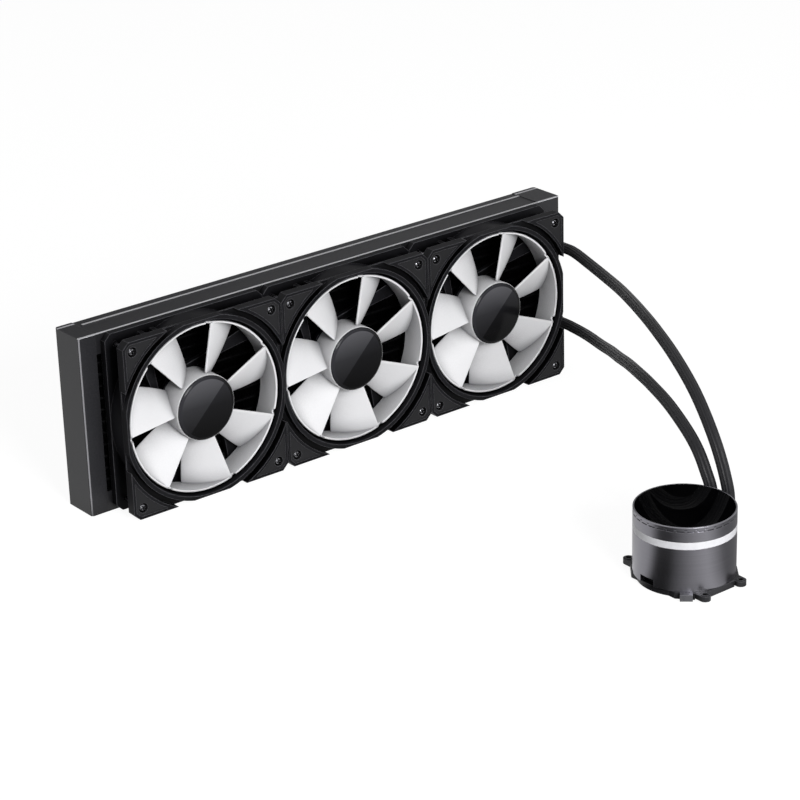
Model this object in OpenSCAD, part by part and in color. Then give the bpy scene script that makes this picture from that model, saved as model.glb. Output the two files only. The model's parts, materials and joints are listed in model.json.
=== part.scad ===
// All in one liquid cooler: a three fan radiator standing on its long side, two hoses and a round
// pump head that stands in front of it. Millimetres, +Z up, the fans blow along +Y.

/* [Fans] */
// Outer width and height of one square fan frame
fan_w = 119.4; // [100:0.1:139]
// Gap between neighbouring fan frames along the row
fan_gap = 0.6; // [0.2:0.1:2]
// Depth of one fan frame
fan_t = 25; // [22:0.5:38]
// Corner chamfer of the fan frame
fan_chamfer = 4.3; // [2:0.1:6]
// Thickness of the front corner blocks
front_flange_t = 6.6; // [5:0.1:8]
// Thickness of the rear flange
rear_flange_t = 5; // [3:0.1:6]
// Wall of the round air duct
duct_wall = 1.6; // [1.2:0.1:2.2]
// Distance from the duct's outer face to the frame's flat side
duct_inset = 0.3; // [0.2:0.1:1.5]
// Extra radius of the duct mouth at its front edge
mouth_flare = 0.9; // [0.3:0.1:1.2]
// Width of the raised lip round the duct mouth
lip_w = 2.6; // [2:0.1:4]
// Drop of the lip below the front plane
lip_drop = 0.7; // [0.3:0.1:1.5]
// Thickness of the web that closes the groove at the back
groove_floor = 1.4; // [1:0.1:2]
// Distance from a screw hole's centre in to the raised shoulder
pad_reach = 6.95; // [6:0.05:8]
// Width of the raised shoulder outside the groove
shoulder_w = 2; // [1:0.1:3]
// Distance of the screw holes from the frame's side
screw_inset = 7.2; // [6.5:0.1:8.5]
// Thickness of the rubber pad in each corner
pad_t = 1.2; // [0.8:0.1:2]
// Depth of the pad below the front plane
pad_drop = 0.4; // [0.2:0.1:1]
// Border that is left round the pad
pad_border = 2; // [1.2:0.1:3]

/* [Rotor] */
// Number of blades
blade_n = 7; // [5:1:9]
// Outer radius of the rotor's hub
hub_r = 21.8; // [18:0.1:26]
// Wall of the hub
hub_wall = 1.5; // [1:0.1:2.5]
// Wall of the ring that joins the blade tips
ring_wall = 1.4; // [1:0.1:2.5]
// Running gap between the ring and the duct
tip_gap = 1.3; // [0.8:0.1:2.5]
// Depth of the ring's front rim below the front plane
ring_drop = 3.1; // [2:0.1:5]
// Sweep of a blade from its leading to its trailing edge at the hub, in degrees
blade_sweep_root = 37; // [28:0.5:42]
// Sweep of a blade at the ring, in degrees
blade_sweep_tip = 30; // [22:0.5:38]
// Greatest thickness of a blade at the hub
blade_t_root = 1.8; // [1.2:0.1:2.6]
// Greatest thickness of a blade at the ring
blade_t_tip = 1.1; // [0.8:0.1:2]
// Lag of the blade's curve behind a straight helix
blade_camber = 0.3; // [0:0.05:0.6]
// Radius of the notch in the ring at each leading edge
notch_r = 1.6; // [0.8:0.1:2.4]
// Width of the hub's rim round the cap
cap_rim = 0.8; // [0.7:0.1:4]
// Thickness of the hub's cap
cap_t = 1.8; // [1.2:0.1:2.4]
// Width of the bevel round the cap
cap_bevel = 0.8; // [0.3:0.1:1]

/* [Fan bearing and motor] */
// Radius of the fan shaft
shaft_r = 1.5; // [1:0.1:2]
// Wall of the bearing sleeve
bearing_wall = 1.95; // [1.2:0.05:2.5]
// Wall of the bearing tube that stands on the hub base
tube_wall = 1.2; // [0.8:0.1:1.6]
// Radius of the stator
stator_r = 15; // [12:0.1:16]
// Height of the stator
stator_h = 7; // [5:0.1:8]
// Thickness of the hub base behind the rotor
base_t = 2.5; // [2:0.1:3.5]
// Depth of the struts that carry the hub base
strut_t = 3.5; // [2.6:0.1:5]
// Width of a strut at the hub base
strut_w_in = 4.5; // [3:0.1:6]
// Width of a strut at the duct
strut_w_out = 10.5; // [6:0.1:13]
// Thickness of the fan's circuit board
fan_board_t = 1; // [0.6:0.1:1.2]

/* [Radiator] */
// Thickness of the radiator
rad_t = 27; // [22:0.5:45]
// Length of the plain end tank
tank_plain_l = 12.25; // [8:0.25:20]
// Length of the end tank that carries the hose ports
tank_port_l = 20; // [18:0.25:30]
// Length of the core beyond the row of fans
core_extra = 1.25; // [0.5:0.25:20]
// Distance from the plain tank to the row of fans
row_inset = 3; // [0.5:0.25:10]
// Wall of the end tanks
tank_wall = 1.5; // [1:0.1:2.5]
// Chamfer of the end tanks' outer upright edges
tank_chamfer = 1.2; // [0.4:0.1:3]
// Height of each side plate
side_h = 13.5; // [12:0.1:16]
// Wall of the side plates
side_wall = 1.2; // [0.8:0.1:1.6]
// Height of the ridge along the upper side plate
ridge_h = 0.4; // [0.2:0.1:0.8]
// Width of the ridge
ridge_w = 1.6; // [0.8:0.1:3]
// Distance of the ridge from the radiator's front face
ridge_y = 19; // [14:0.5:21]
// Number of flat water tubes
tube_n = 11; // [6:1:14]
// Height of a flat tube
tube_h = 2; // [1.6:0.1:2.6]
// Distance of the tubes from the radiator's front and back faces
tube_inset = 2.5; // [1.8:0.1:5]
// Length of a tube's end inside its tank
tube_end = 1; // [0.5:0.1:2]
// Thickness of the fin strip
fin_t = 0.4; // [0.3:0.05:0.8]
// Length of one wave of the corrugated fins
fin_wave = 10; // [8:0.5:20]
// Distance of the fins from the radiator's front and back faces
fin_inset = 3; // [1:0.1:6]
// Radius of the fill plug
plug_r = 4; // [3:0.1:6]
// Height of the upper hose port
port_hi_z = 88; // [80:0.5:100]
// Height of the lower hose port
port_lo_z = 32; // [20:0.5:40]
// Reach of the hose ports in front of the tank
port_len = 4; // [4:0.5:20]

/* [Screws] */
// Radius of a fan screw's shank
screw_r = 1.45; // [1.2:0.05:1.7]
// Radius of a fan screw's head
screw_head_r = 2.6; // [2.4:0.1:3]
// Height of a fan screw's head
screw_head_h = 2; // [1.6:0.1:2.4]
// Length of a fan screw below its head
screw_l = 28; // [26:0.5:45]
// Radius of the case screw holes in the radiator's back
case_hole_r = 1.95; // [1.9:0.05:2.2]

/* [Hoses] */
// Outer radius of the hoses
hose_r = 3.9; // [3:0.1:5]
// Length of the collar on each hose end
collar_l = 8; // [6:0.5:12]
// Length of the collar on each hose port
port_collar_l = 4; // [3:0.5:12]
// Wall of the collars
collar_wall = 1; // [0.6:0.1:1.6]

/* [Pump head] */
// Distance of the pump's axis in front of the fans
pump_away = 280.5; // [180:0.5:320]
// Distance of the pump's axis to the right of the middle fan
pump_dx = 23; // [-60:0.5:60]
// Radius of the pump head's body
body_r = 30.7; // [29:0.1:40]
// Overall height of the pump head
pump_h = 46; // [42:0.5:60]
// Height of the mounting bracket's top above the desk
base_z = 4.7; // [4:0.1:6]
// Wall of the pump housing
body_wall = 3.7; // [3:0.1:4.5]
// Thickness of the housing's floor
floor_t = 3; // [2:0.1:4]
// Height of the light ring
light_h = 4.5; // [2:0.1:8]
// Height of the metal ring above the light ring
top_ring_h = 9.5; // [8:0.1:14]
// Bevel at the top of the metal ring
top_bevel = 0.7; // [0.4:0.1:1.2]
// Wall of the metal ring's upper edge at the glass
rim_w = 0.3; // [0.2:0.1:1]
// Thickness of the glass cover
glass_t = 2.4; // [1.5:0.1:3]
// Thickness of the boards in the pump head
board_t = 1.6; // [1:0.1:2]
// Width of the cable slot
slot_w = 11; // [9:0.5:16]
// Height of the cable slot
slot_h = 4.6; // [4.5:0.1:8]
// Depth of the cable slot
slot_d = 5.5; // [5:0.1:7]

/* [Pump works] */
// Outer height of the pump chamber
chamber_h = 12; // [10:0.5:14]
// Radius of the impeller's space
volute_r = 15; // [11:0.5:17]
// Wall of the chamber plate and its can
can_wall = 1; // [0.8:0.1:1.5]
// Radius of the impeller's magnet
magnet_r = 6.5; // [5:0.1:8]
// Running gap round the impeller
impeller_gap = 0.8; // [0.5:0.1:1.5]
// Number of impeller vanes
vane_n = 6; // [4:1:8]
// Radius of the pump shaft
pump_shaft_r = 1.2; // [0.8:0.1:1.6]

/* [Cold plate and bracket] */
// Clearance of the cold plate in the bracket
plate_gap = 0.3; // [0.1:0.1:0.6]
// Number of cold plate screws
plate_screw_n = 8; // [4:1:10]
// Width of the skived fins on the cold plate
skive_w = 24; // [16:1:28]
// Thickness of a skived fin
skive_t = 1; // [0.6:0.1:1.4]
// Gap between skived fins
skive_gap = 1; // [0.6:0.1:2]
// Height of the bracket's underside above the desk
bracket_lift = 0.5; // [0.2:0.1:1]
// Sideways place of the bracket's ears
ear_x = 14.5; // [10:0.5:20]
// Distance from the pump body's side to the centre of an ear
ear_out = 1.6; // [1:0.1:8]
// Radius of an ear
ear_r = 3.4; // [3.2:0.1:6]
// Height of the ears' underside above the bracket's
ear_lift = 0.9; // [0:0.1:2]
// Radius of the bolt hole in an ear's bushing
ear_hole_r = 1.6; // [1.2:0.1:1.9]
// Wall of an ear's bushing
bushing_wall = 0.9; // [0.6:0.1:1.3]
// Width of the bracket's locking key
key_w = 7.5; // [4:0.1:9]
// Reach of the locking key outside the body
key_out = 3.8; // [1:0.1:5]
// Distance from the body's side in to the bracket's straight side
plate_in = 5.3; // [3.5:0.1:6]
// Part of the bracket's half length at which its cut corners start
corner_share = 0.6; // [0.5:0.02:0.8]

/* [Elbows] */
// Direction of the hose elbows round the pump head, in degrees from +X
elbow_angle = 12; // [5:1:45]
// Distance between the two elbows
elbow_pitch = 12; // [12:0.5:20]
// Height of the elbows above the desk
elbow_z = 20; // [18:0.5:24]
// Distance from the pump body to the elbow's upright leg
elbow_out = 7.3; // [6:0.1:12]
// Radius of the elbow's body
elbow_r = 5; // [4.5:0.1:5.8]
// Height of the elbow's upright leg
elbow_h = 6; // [6:0.5:14]

/* [Hidden] */
$fn = 96;
// Clearance of round seats and of parts dropped into pockets
fit = 0.05;
e = 0.01;

fan_n = 3;
fan_pitch = fan_w + fan_gap;
core_l = fan_n * fan_pitch + core_extra;
rad_l = tank_plain_l + core_l + tank_port_l;
rad_h = fan_pitch;

ear_y = body_r + ear_out;
depth = rad_t + fan_t + pump_away + ear_y + ear_r;
rad_back_y = depth / 2;
rad_front_y = rad_back_y - rad_t;
fan_front_y = rad_front_y - fan_t;
pump_y = fan_front_y - pump_away;
core_x0 = -rad_l / 2 + tank_plain_l;
core_x1 = core_x0 + core_l;
function fan_x(i) = core_x0 + row_inset + fan_pitch * (i + 0.5);
pump_x = fan_x(1) + pump_dx;
port_x = core_x1 + tank_port_l / 2 + 0.75;

duct_ro = fan_w / 2 - duct_inset;
duct_ri = duct_ro - duct_wall;
mouth_r = duct_ri + mouth_flare;
lip_r = mouth_r + lip_w;
screw_xy = fan_w / 2 - screw_inset;
pad_r = screw_xy * sqrt(2) - pad_reach;
groove_r = pad_r - shoulder_w;
seat_d = screw_head_h + 0.6;
head_room = 0.7;

ring_ro = duct_ri - tip_gap;
ring_ri = ring_ro - ring_wall;
rotor_back = fan_t - strut_t - 1;
blade_back = rotor_back - 1.6;
cap_front = 1;
hub_front = cap_front + 0.8;
web_front = cap_front + cap_t;
bearing_r = shaft_r + fit + bearing_wall;
tube_r = bearing_r + fit + tube_wall;
tube_front = web_front + 2 * hub_wall + 3;
hub_in_r = hub_r - hub_wall;
cap_r = hub_r - cap_rim;
strut_tail = 0.37 * hub_r;
strut_knee = 0.55 * hub_r;

tube_clear = 0.1;
tube_d = rad_t - 2 * tube_inset;
core_z0 = side_h;
core_h = rad_h - 2 * side_h;
fin_h = (core_h - tube_n * tube_h) / (tube_n + 1);
function tube_z(k) = core_z0 + (k + 1) * fin_h + (k + 0.5) * tube_h;
fin_waves = floor((core_l - 2) / fin_wave);
fin_x0 = core_x0 + (core_l - fin_waves * fin_wave) / 2;

top_z = pump_h - top_ring_h;
light_z = top_z - light_h;
body_ri = body_r - body_wall;
glass_r = body_r - top_bevel - rim_w;
plate_r = body_ri - plate_gap;
seal_r0 = plate_r - 5.4;
seal_w = 1.6;
plate_screw_at = plate_r - 2.2;
throat_r = seal_r0 - 0.3;
chamber_z = base_z + floor_t;
chamber_r = body_ri - 2 * fit;
plate_z = chamber_z + chamber_h;
board_z = light_z - board_t;
can_r = magnet_r + impeller_gap + can_wall;
can_top = board_z - 0.3;
ear_sleeve_r = ear_hole_r + bushing_wall;
elbow_x = body_r + elbow_out;
collar_gap = 0.2;

// Moves a drawn route so that it starts at one point and ends at another; the run between them shares
// the two moves out along its length
function tied(p, from, to) =
  let (n = len(p) - 1)
  [for (i = [0:n]) let (w = min(max((i - 1) / (n - 2), 0), 1)) p[i] + (1 - w) * (from - p[0]) + w * (to - p[n])];
function port_end(z) = [port_x, rad_front_y - port_len, z];
function elbow_end(side) = [
  pump_x + elbow_x * cos(elbow_angle) - side * elbow_pitch / 2 * sin(elbow_angle),
  pump_y + elbow_x * sin(elbow_angle) + side * elbow_pitch / 2 * cos(elbow_angle),
  elbow_z + elbow_h
];

// Smooth run through a route's points; the first and last stretch stay straight
function pull(p, i) =
  i == 1 ? 2.5 * (p[1] - p[0]) : i == len(p) - 2 ? 2.5 * (p[i + 1] - p[i]) : (p[i + 1] - p[i - 1]) / 2;
function bent(p, i, t) =
  (2 * t * t * t - 3 * t * t + 1) * p[i] + (t * t * t - 2 * t * t + t) * pull(p, i) +
  (3 * t * t - 2 * t * t * t) * p[i + 1] + (t * t * t - t * t) * pull(p, i + 1);
function run(p) =
  let (n = len(p) - 1)
  [p[0], for (i = [1:n - 2], k = [0:2]) bent(p, i, k / 3), p[n - 1], p[n]];

// Route of the upper hose from the radiator's port to the pump's elbow
upper_route = run(tied([
  [187.5, 153.5, 88], [187.5, 144.5, 88], [186.5, 131, 88], [180.5, 109, 87], [166.5, 75.5, 89],
  [149, 44.5, 94.5], [129.5, 14, 101], [110.5, -16, 106.5], [92.5, -47.5, 109], [77.5, -80.5, 104.5],
  [67.5, -109, 92], [61, -131, 73], [59.5, -142.5, 52.5], [60, -146, 34.5], [60, -146, 26]
], port_end(port_hi_z), elbow_end(-1)));
// Route of the lower hose
lower_route = run(tied([
  [187.5, 153.5, 32], [187.5, 144.5, 32], [186.5, 131, 32], [180.5, 111, 34], [165.5, 80.5, 40],
  [148.5, 52.5, 48.5], [130, 25, 57.5], [112, -2.5, 66.5], [94, -30, 74.5], [77.5, -60, 79.5],
  [65.5, -90, 77.5], [58.5, -116.5, 66], [56.5, -129.5, 51], [57.5, -134, 34.5], [57.5, -134, 26]
], port_end(port_lo_z), elbow_end(1)));
hose_sides = 10;

// Puts a fan part in place: z = 0 is the fan's front plane, its depth runs to -fan_t
module at_fan(i) {
  translate([fan_x(i), fan_front_y, rad_h / 2]) rotate([90, 0, 0]) children();
}

module at_pump() {
  translate([pump_x, pump_y, 0]) children();
}

// A square with chamfered corners
module chamfered(w, c) {
  h = w / 2;
  polygon([[h - c, -h], [h, -h + c], [h, h - c], [h - c, h],
           [-h + c, h], [-h, h - c], [-h, -h + c], [-h + c, -h]]);
}

module at_corners(s) {
  for (x = [-s, s], y = [-s, s]) translate([x, y, 0]) children();
}

// Slab between two depths below the fan's front plane
module slab(front, back) {
  translate([0, 0, -back]) linear_extrude(back - front) children();
}

module fan_outline() chamfered(fan_w, fan_chamfer);

// Corner plate outside the shoulder, less a border along the frame's edge
module pad_shape(gap) {
  difference() {
    chamfered(fan_w - 2 * pad_border - 2 * gap, fan_chamfer - 0.6 * pad_border);
    circle(pad_r + gap, $fn = 192);
    at_corners(screw_xy) circle(screw_head_r + head_room, $fn = 40);
  }
}

// One strut leaves the hub base at a tangent and widens to the duct wall
module strut() {
  lean = 13;
  x0 = -hub_r + 0.4;
  translate([x0, 0]) rotate([0, 0, lean])
    polygon([[-strut_w_in / 2, -strut_tail], [strut_w_in / 2, -strut_tail], [strut_w_in / 2, strut_knee],
             [strut_w_out / 2, duct_ro - strut_w_in], [-strut_w_out / 2, duct_ro - strut_w_in],
             [-strut_w_in / 2, strut_knee]]);
}

module fan_frame() {
  difference() {
    union() {
      slab(fan_t - rear_flange_t, fan_t) fan_outline();
      slab(lip_drop, fan_t) circle(duct_ro, $fn = 192);
      slab(front_flange_t - groove_floor, front_flange_t) fan_outline();
      slab(lip_drop, front_flange_t) intersection() {
        fan_outline();
        circle(lip_r, $fn = 192);
      }
      slab(0, front_flange_t) difference() {
        fan_outline();
        circle(groove_r, $fn = 192);
      }
      // cable clip on the duct
      translate([-duct_ro / 2 - 6, duct_ro * 0.8, -fan_t + rear_flange_t - e])
        cube([12, duct_ro * 0.14, fan_t - rear_flange_t - front_flange_t + 2 * e]);
    }
    translate([0, 0, -fan_t - 1]) cylinder(h = fan_t + 2, r = duct_ri, $fn = 192);
    translate([0, 0, -4]) cylinder(h = 4 + e, r1 = duct_ri, r2 = mouth_r, $fn = 192);
    // pockets of the corner pads
    slab(-1, pad_drop + pad_t) difference() {
      chamfered(fan_w - 2 * pad_border, fan_chamfer - 0.6 * pad_border);
      circle(pad_r, $fn = 192);
    }
    // screw seats and holes
    at_corners(screw_xy) {
      translate([0, 0, -seat_d]) cylinder(h = seat_d + 1, r = screw_head_r + head_room - 0.2, $fn = 40);
      translate([0, 0, -fan_t - 1]) cylinder(h = fan_t, r = screw_r + 0.25, $fn = 32);
    }
    // gap of the cable clip
    translate([-duct_ro / 2 - 3, duct_ro * 0.86, -fan_t + rear_flange_t])
      cube([6, duct_ro * 0.2, fan_t - rear_flange_t - front_flange_t]);
  }
  slab(fan_t - strut_t, fan_t) intersection() {
    circle(duct_ro - duct_wall / 2, $fn = 192);
    difference() {
      for (k = [0:3]) rotate([0, 0, 90 * k]) strut();
      circle(hub_r - 2);
    }
  }
  // hub base with the bearing tube
  difference() {
    union() {
      slab(fan_t - base_t, fan_t) circle(hub_r - 0.8);
      slab(tube_front, fan_t) circle(tube_r);
    }
    translate([0, 0, -fan_t + 1]) cylinder(h = fan_t, r = bearing_r + fit);
  }
}

// Point of a blade: s runs from leading to trailing edge, side is +1 or -1
function blade_point(r, s, side) =
  let (
    t = (r - hub_r) / (ring_ri - hub_r),
    sweep = blade_sweep_root + (blade_sweep_tip - blade_sweep_root) * t,
    d0 = ring_drop + 2.4 - 2.3 * t,
    d1 = blade_back,
    k = blade_camber,
    depth_at = d0 + (d1 - d0) * (s - k * s * (1 - s)),
    run = -r * sweep * PI / 180,
    fall = -(d1 - d0) * (1 - k * (1 - 2 * s)),
    len = sqrt(run * run + fall * fall),
    half = side * (blade_t_root + (blade_t_tip - blade_t_root) * t) * (0.3 + 0.7 * sin(180 * s)) / 2,
    a = -sweep * s + half * (-fall / len) * 180 / PI / r,
    z = -depth_at + half * run / len
  ) [r * cos(a), r * sin(a), z];

blade_steps = 6;
blade_stations = 6;
blade_r0 = hub_r - hub_wall / 2;
blade_r1 = ring_ri + ring_wall / 2;
function blade_loop(r) = [
  for (i = [0:blade_steps]) blade_point(r, i / blade_steps, 1),
  for (i = [blade_steps:-1:0]) blade_point(r, i / blade_steps, -1)
];

// One lofted blade between the hub's wall and the ring's wall
module blade() {
  n = 2 * (blade_steps + 1);
  m = blade_stations;
  points = [for (j = [0:m]) each blade_loop(blade_r0 + (blade_r1 - blade_r0) * j / m)];
  faces = [
    for (j = [0:m - 1], i = [0:n - 1]) let (a = j * n + i, b = j * n + (i + 1) % n)
      each [[a, b, b + n], [a, b + n, a + n]],
    for (i = [0:blade_steps - 1]) let (p = i, q = n - 1 - i)
      each [[p, q, q - 1], [p, q - 1, p + 1]],
    for (i = [0:blade_steps - 1]) let (p = m * n + i, q = m * n + n - 1 - i)
      each [[p, q - 1, q], [p, p + 1, q - 1]]
  ];
  polyhedron(points, faces);
}

module rotor() {
  lead = 82;
  difference() {
    union() {
      // hub: skirt, front web and shaft boss
      difference() {
        slab(hub_front, rotor_back) circle(hub_r);
        slab(web_front + hub_wall, rotor_back + 1) circle(hub_in_r);
      }
      slab(web_front, tube_front - 1.5) circle(shaft_r + 2.2);
      // ring
      slab(ring_drop, rotor_back) difference() {
        circle(ring_ro, $fn = 192);
        circle(ring_ri, $fn = 192);
      }
      for (k = [0:blade_n - 1]) rotate([0, 0, lead - 360 / blade_n * k]) blade();
    }
    slab(-1, web_front) circle(cap_r + fit);
    translate([0, 0, -fan_t]) cylinder(h = fan_t - web_front - 0.5, r = shaft_r + fit / 2);
    for (k = [0:blade_n - 1]) rotate([0, 0, lead - 360 / blade_n * k + 2])
      translate([ring_ri - 0.7, 0, -ring_drop]) rotate([0, 90, 0])
        cylinder(h = ring_wall + 1.4, r = notch_r, $fn = 24);
  }
}

module hub_cap() {
  rotate_extrude() polygon([[0, -web_front], [cap_r, -web_front],
    [cap_r, -cap_front - cap_bevel], [cap_r - cap_bevel * 1.6, -cap_front], [0, -cap_front]]);
}

module fan_shaft() slab(web_front + 0.5, fan_t - 1.6) circle(shaft_r);

module fan_bearing() slab(tube_front, fan_t - 1) difference() {
  circle(bearing_r);
  circle(shaft_r + fit);
}

module fan_stator() slab(rotor_back - 1.5 - stator_h, rotor_back - 1.5) difference() {
  union() {
    circle(tube_r + 2.5);
    for (a = [0:60:300]) rotate([0, 0, a]) translate([0, -1.2]) square([stator_r - 1, 2.4]);
    intersection() {
      difference() {
        circle(stator_r);
        circle(stator_r - 2);
      }
      for (a = [0:60:300]) rotate([0, 0, a]) translate([0, -5.5]) square([stator_r + 1, 11]);
    }
  }
  circle(tube_r + fit);
}

module fan_board() slab(fan_t - base_t - fan_board_t, fan_t - base_t) difference() {
  circle(hub_in_r - 2);
  circle(tube_r + fit);
}

module corner_pads() slab(pad_drop, pad_drop + pad_t) pad_shape(fit);

module fan_screws() at_corners(screw_xy) difference() {
  union() {
    slab(seat_d - screw_head_h, seat_d) circle(screw_head_r, $fn = 40);
    slab(seat_d, seat_d + screw_l) circle(screw_r, $fn = 32);
  }
  slab(-1, seat_d - screw_head_h + 1.2) {
    square([3.2, 0.8], center = true);
    square([0.8, 3.2], center = true);
  }
}

// Section of a flat tube across its run, grown by a clearance
module tube_section(grow) {
  r = tube_h / 2 + grow;
  hull_d = tube_d / 2 - tube_h / 2;
  square([2 * hull_d, 2 * r], center = true);
  for (s = [-1, 1]) translate([s * hull_d, 0]) circle(r, $fn = 24);
}

// Stands a tube section on end along +X
module along_x(x0, x1) {
  translate([x0, rad_front_y + rad_t / 2, 0]) rotate([90, 0, 90]) linear_extrude(x1 - x0) children();
}

module header_slots(x) {
  for (k = [0:tube_n - 1]) translate([0, 0, tube_z(k)])
    along_x(x - 1, x + tank_wall + 1) tube_section(tube_clear);
}

// Plan of a tank with its outer upright edges cut back
module tank_plan(l) {
  c = tank_chamfer;
  polygon([[0, c], [c, 0], [l, 0], [l, rad_t], [c, rad_t], [0, rad_t - c]]);
}

module tank_shell(l) {
  difference() {
    linear_extrude(rad_h) tank_plan(l);
    translate([tank_wall, tank_wall, tank_wall])
      cube([l - 2 * tank_wall, rad_t - 2 * tank_wall, rad_h - 2 * tank_wall]);
  }
}

module tank_plain() color("#3c3c3f") difference() {
  translate([-rad_l / 2, rad_front_y, 0]) tank_shell(tank_plain_l);
  header_slots(core_x0 - tank_wall);
}

module tank_port() color("#3c3c3f") difference() {
  translate([rad_l / 2, rad_front_y + rad_t, 0]) rotate([0, 0, 180]) tank_shell(tank_port_l);
  header_slots(core_x1);
  for (z = [port_lo_z, port_hi_z]) translate([port_x, rad_front_y - 1, z]) rotate([-90, 0, 0])
    cylinder(h = tank_wall + 2, r = hose_r + fit);
  translate([rad_l / 2 + 1, rad_front_y + rad_t / 2, rad_h * 0.86]) rotate([0, -90, 0])
    cylinder(h = tank_wall + 2, r = plug_r + fit);
}

module side_plate_holes(y, l, r) {
  for (i = [0:fan_n - 1], s = [-1, 1])
    translate([fan_x(i) + s * screw_xy, y, 0]) rotate([-90, 0, 0]) cylinder(h = l, r = r, $fn = 32);
}

// Box section between the tanks with threaded bosses behind its fan screw and case screw holes
module side_plate(z_screw, z0, top) {
  wall = side_wall + 1.5;
  difference() {
    union() {
      difference() {
        translate([core_x0, rad_front_y, z0]) cube([core_l, rad_t, top - z0]);
        translate([core_x0 - 1, rad_front_y + side_wall, z0 + side_wall])
          cube([core_l + 2, rad_t - 2 * side_wall, top - z0 - 2 * side_wall]);
      }
      translate([0, 0, z_screw]) {
        side_plate_holes(rad_front_y + side_wall - e, 1.5, screw_r + 1.4);
        side_plate_holes(rad_back_y - wall + e, 1.5, case_hole_r + 1.1);
      }
    }
    translate([0, 0, z_screw]) {
      side_plate_holes(rad_front_y - 1, wall + 2, screw_r + fit);
      side_plate_holes(rad_back_y - wall - 1, wall + 2, case_hole_r);
    }
  }
}

module side_plate_top() color("#37373a") {
  side_plate(rad_h / 2 + screw_xy, rad_h - side_h, rad_h - ridge_h);
  translate([core_x0 + row_inset, rad_front_y + ridge_y, rad_h - ridge_h - e])
    cube([core_l - row_inset, ridge_w, ridge_h + e]);
}

module side_plate_bottom() color("#37373a")
  side_plate(rad_h / 2 - screw_xy, 0, side_h);

module flat_tubes() color("#2c2c2e") {
  for (k = [0:tube_n - 1]) translate([0, 0, tube_z(k)])
    along_x(core_x0 - tank_wall - tube_end, core_x1 + tank_wall + tube_end) difference() {
      tube_section(0);
      square([tube_d - tube_h - 1, tube_h - 0.8], center = true);
    }
}

// One side of the wave: the strip's middle line, pushed up or down by half its thickness
function wave_side(up) = [
  for (k = [0:fin_waves - 1]) each [
    [fin_wave * (k + 0.05) + (up ? 0 : fin_t / 2), up ? fin_t : 0],
    [fin_wave * (k + 0.45) - (up ? fin_t / 2 : -fin_t / 2), up ? fin_h : fin_h - fin_t],
    [fin_wave * (k + 0.55) + (up ? fin_t / 2 : -fin_t / 2), up ? fin_h : fin_h - fin_t],
    [fin_wave * (k + 0.95) - (up ? 0 : fin_t / 2), up ? fin_t : 0]
  ]
];
function reversed(v) = [for (i = [len(v) - 1:-1:0]) v[i]];

module fins() color("#1c1c1e") {
  for (k = [0:tube_n])
    translate([fin_x0, rad_back_y - fin_inset, core_z0 + k * (fin_h + tube_h)]) rotate([90, 0, 0])
      linear_extrude(rad_t - 2 * fin_inset) polygon(concat(wave_side(true), reversed(wave_side(false))));
}

module fill_plug() color("#2a2a2c")
  translate([rad_l / 2, rad_front_y + rad_t / 2, rad_h * 0.86]) rotate([0, -90, 0]) difference() {
    cylinder(h = tank_wall + 2, r = plug_r);
    translate([0, 0, -1]) cylinder(h = 2.2, r = plug_r / 2, $fn = 6);
  }

// Threaded port: spigot in the tank wall, hexagon and neck, ends where the hose begins
module hose_port(z) {
  translate([port_x, rad_front_y, z]) rotate([90, 0, 0]) {
    translate([0, 0, -tank_wall - 1]) cylinder(h = tank_wall + 1 + e, r = hose_r);
    cylinder(h = 3, r = hose_r + 2.6, $fn = 6);
    cylinder(h = port_len, r = hose_r + 0.5);
  }
}

module port_upper() color("#8e8e92") hose_port(port_hi_z);
module port_lower() color("#8e8e92") hose_port(port_lo_z);

module fan_frame_left() color("#2a2a2c") at_fan(0) fan_frame();
module fan_frame_mid() color("#2a2a2c") at_fan(1) fan_frame();
module fan_frame_right() color("#2a2a2c") at_fan(2) fan_frame();
module rotor_left() color("#e6e6e8") at_fan(0) rotor();
module rotor_mid() color("#e6e6e8") at_fan(1) rotor();
module rotor_right() color("#e6e6e8") at_fan(2) rotor();
module hub_cap_left() color("#101012") at_fan(0) hub_cap();
module hub_cap_mid() color("#101012") at_fan(1) hub_cap();
module hub_cap_right() color("#101012") at_fan(2) hub_cap();
module fan_shaft_left() color("#b8b8bc") at_fan(0) fan_shaft();
module fan_shaft_mid() color("#b8b8bc") at_fan(1) fan_shaft();
module fan_shaft_right() color("#b8b8bc") at_fan(2) fan_shaft();
module fan_bearing_left() color("#a08040") at_fan(0) fan_bearing();
module fan_bearing_mid() color("#a08040") at_fan(1) fan_bearing();
module fan_bearing_right() color("#a08040") at_fan(2) fan_bearing();
module fan_stator_left() color("#6a4a30") at_fan(0) fan_stator();
module fan_stator_mid() color("#6a4a30") at_fan(1) fan_stator();
module fan_stator_right() color("#6a4a30") at_fan(2) fan_stator();
module fan_board_left() color("#1f4a30") at_fan(0) fan_board();
module fan_board_mid() color("#1f4a30") at_fan(1) fan_board();
module fan_board_right() color("#1f4a30") at_fan(2) fan_board();
module corner_pads_left() color("#222224") at_fan(0) corner_pads();
module corner_pads_mid() color("#222224") at_fan(1) corner_pads();
module corner_pads_right() color("#222224") at_fan(2) corner_pads();
module fan_screws_left() color("#4a4a4e") at_fan(0) fan_screws();
module fan_screws_mid() color("#4a4a4e") at_fan(1) fan_screws();
module fan_screws_right() color("#4a4a4e") at_fan(2) fan_screws();

// Turns a shape to the two hose elbows: x runs outwards, y = 0 is the elbow's own axis
module at_elbow(side) {
  at_pump() translate([0, 0, elbow_z]) rotate([0, 0, elbow_angle])
    translate([0, side * elbow_pitch / 2, 0]) children();
}

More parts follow.
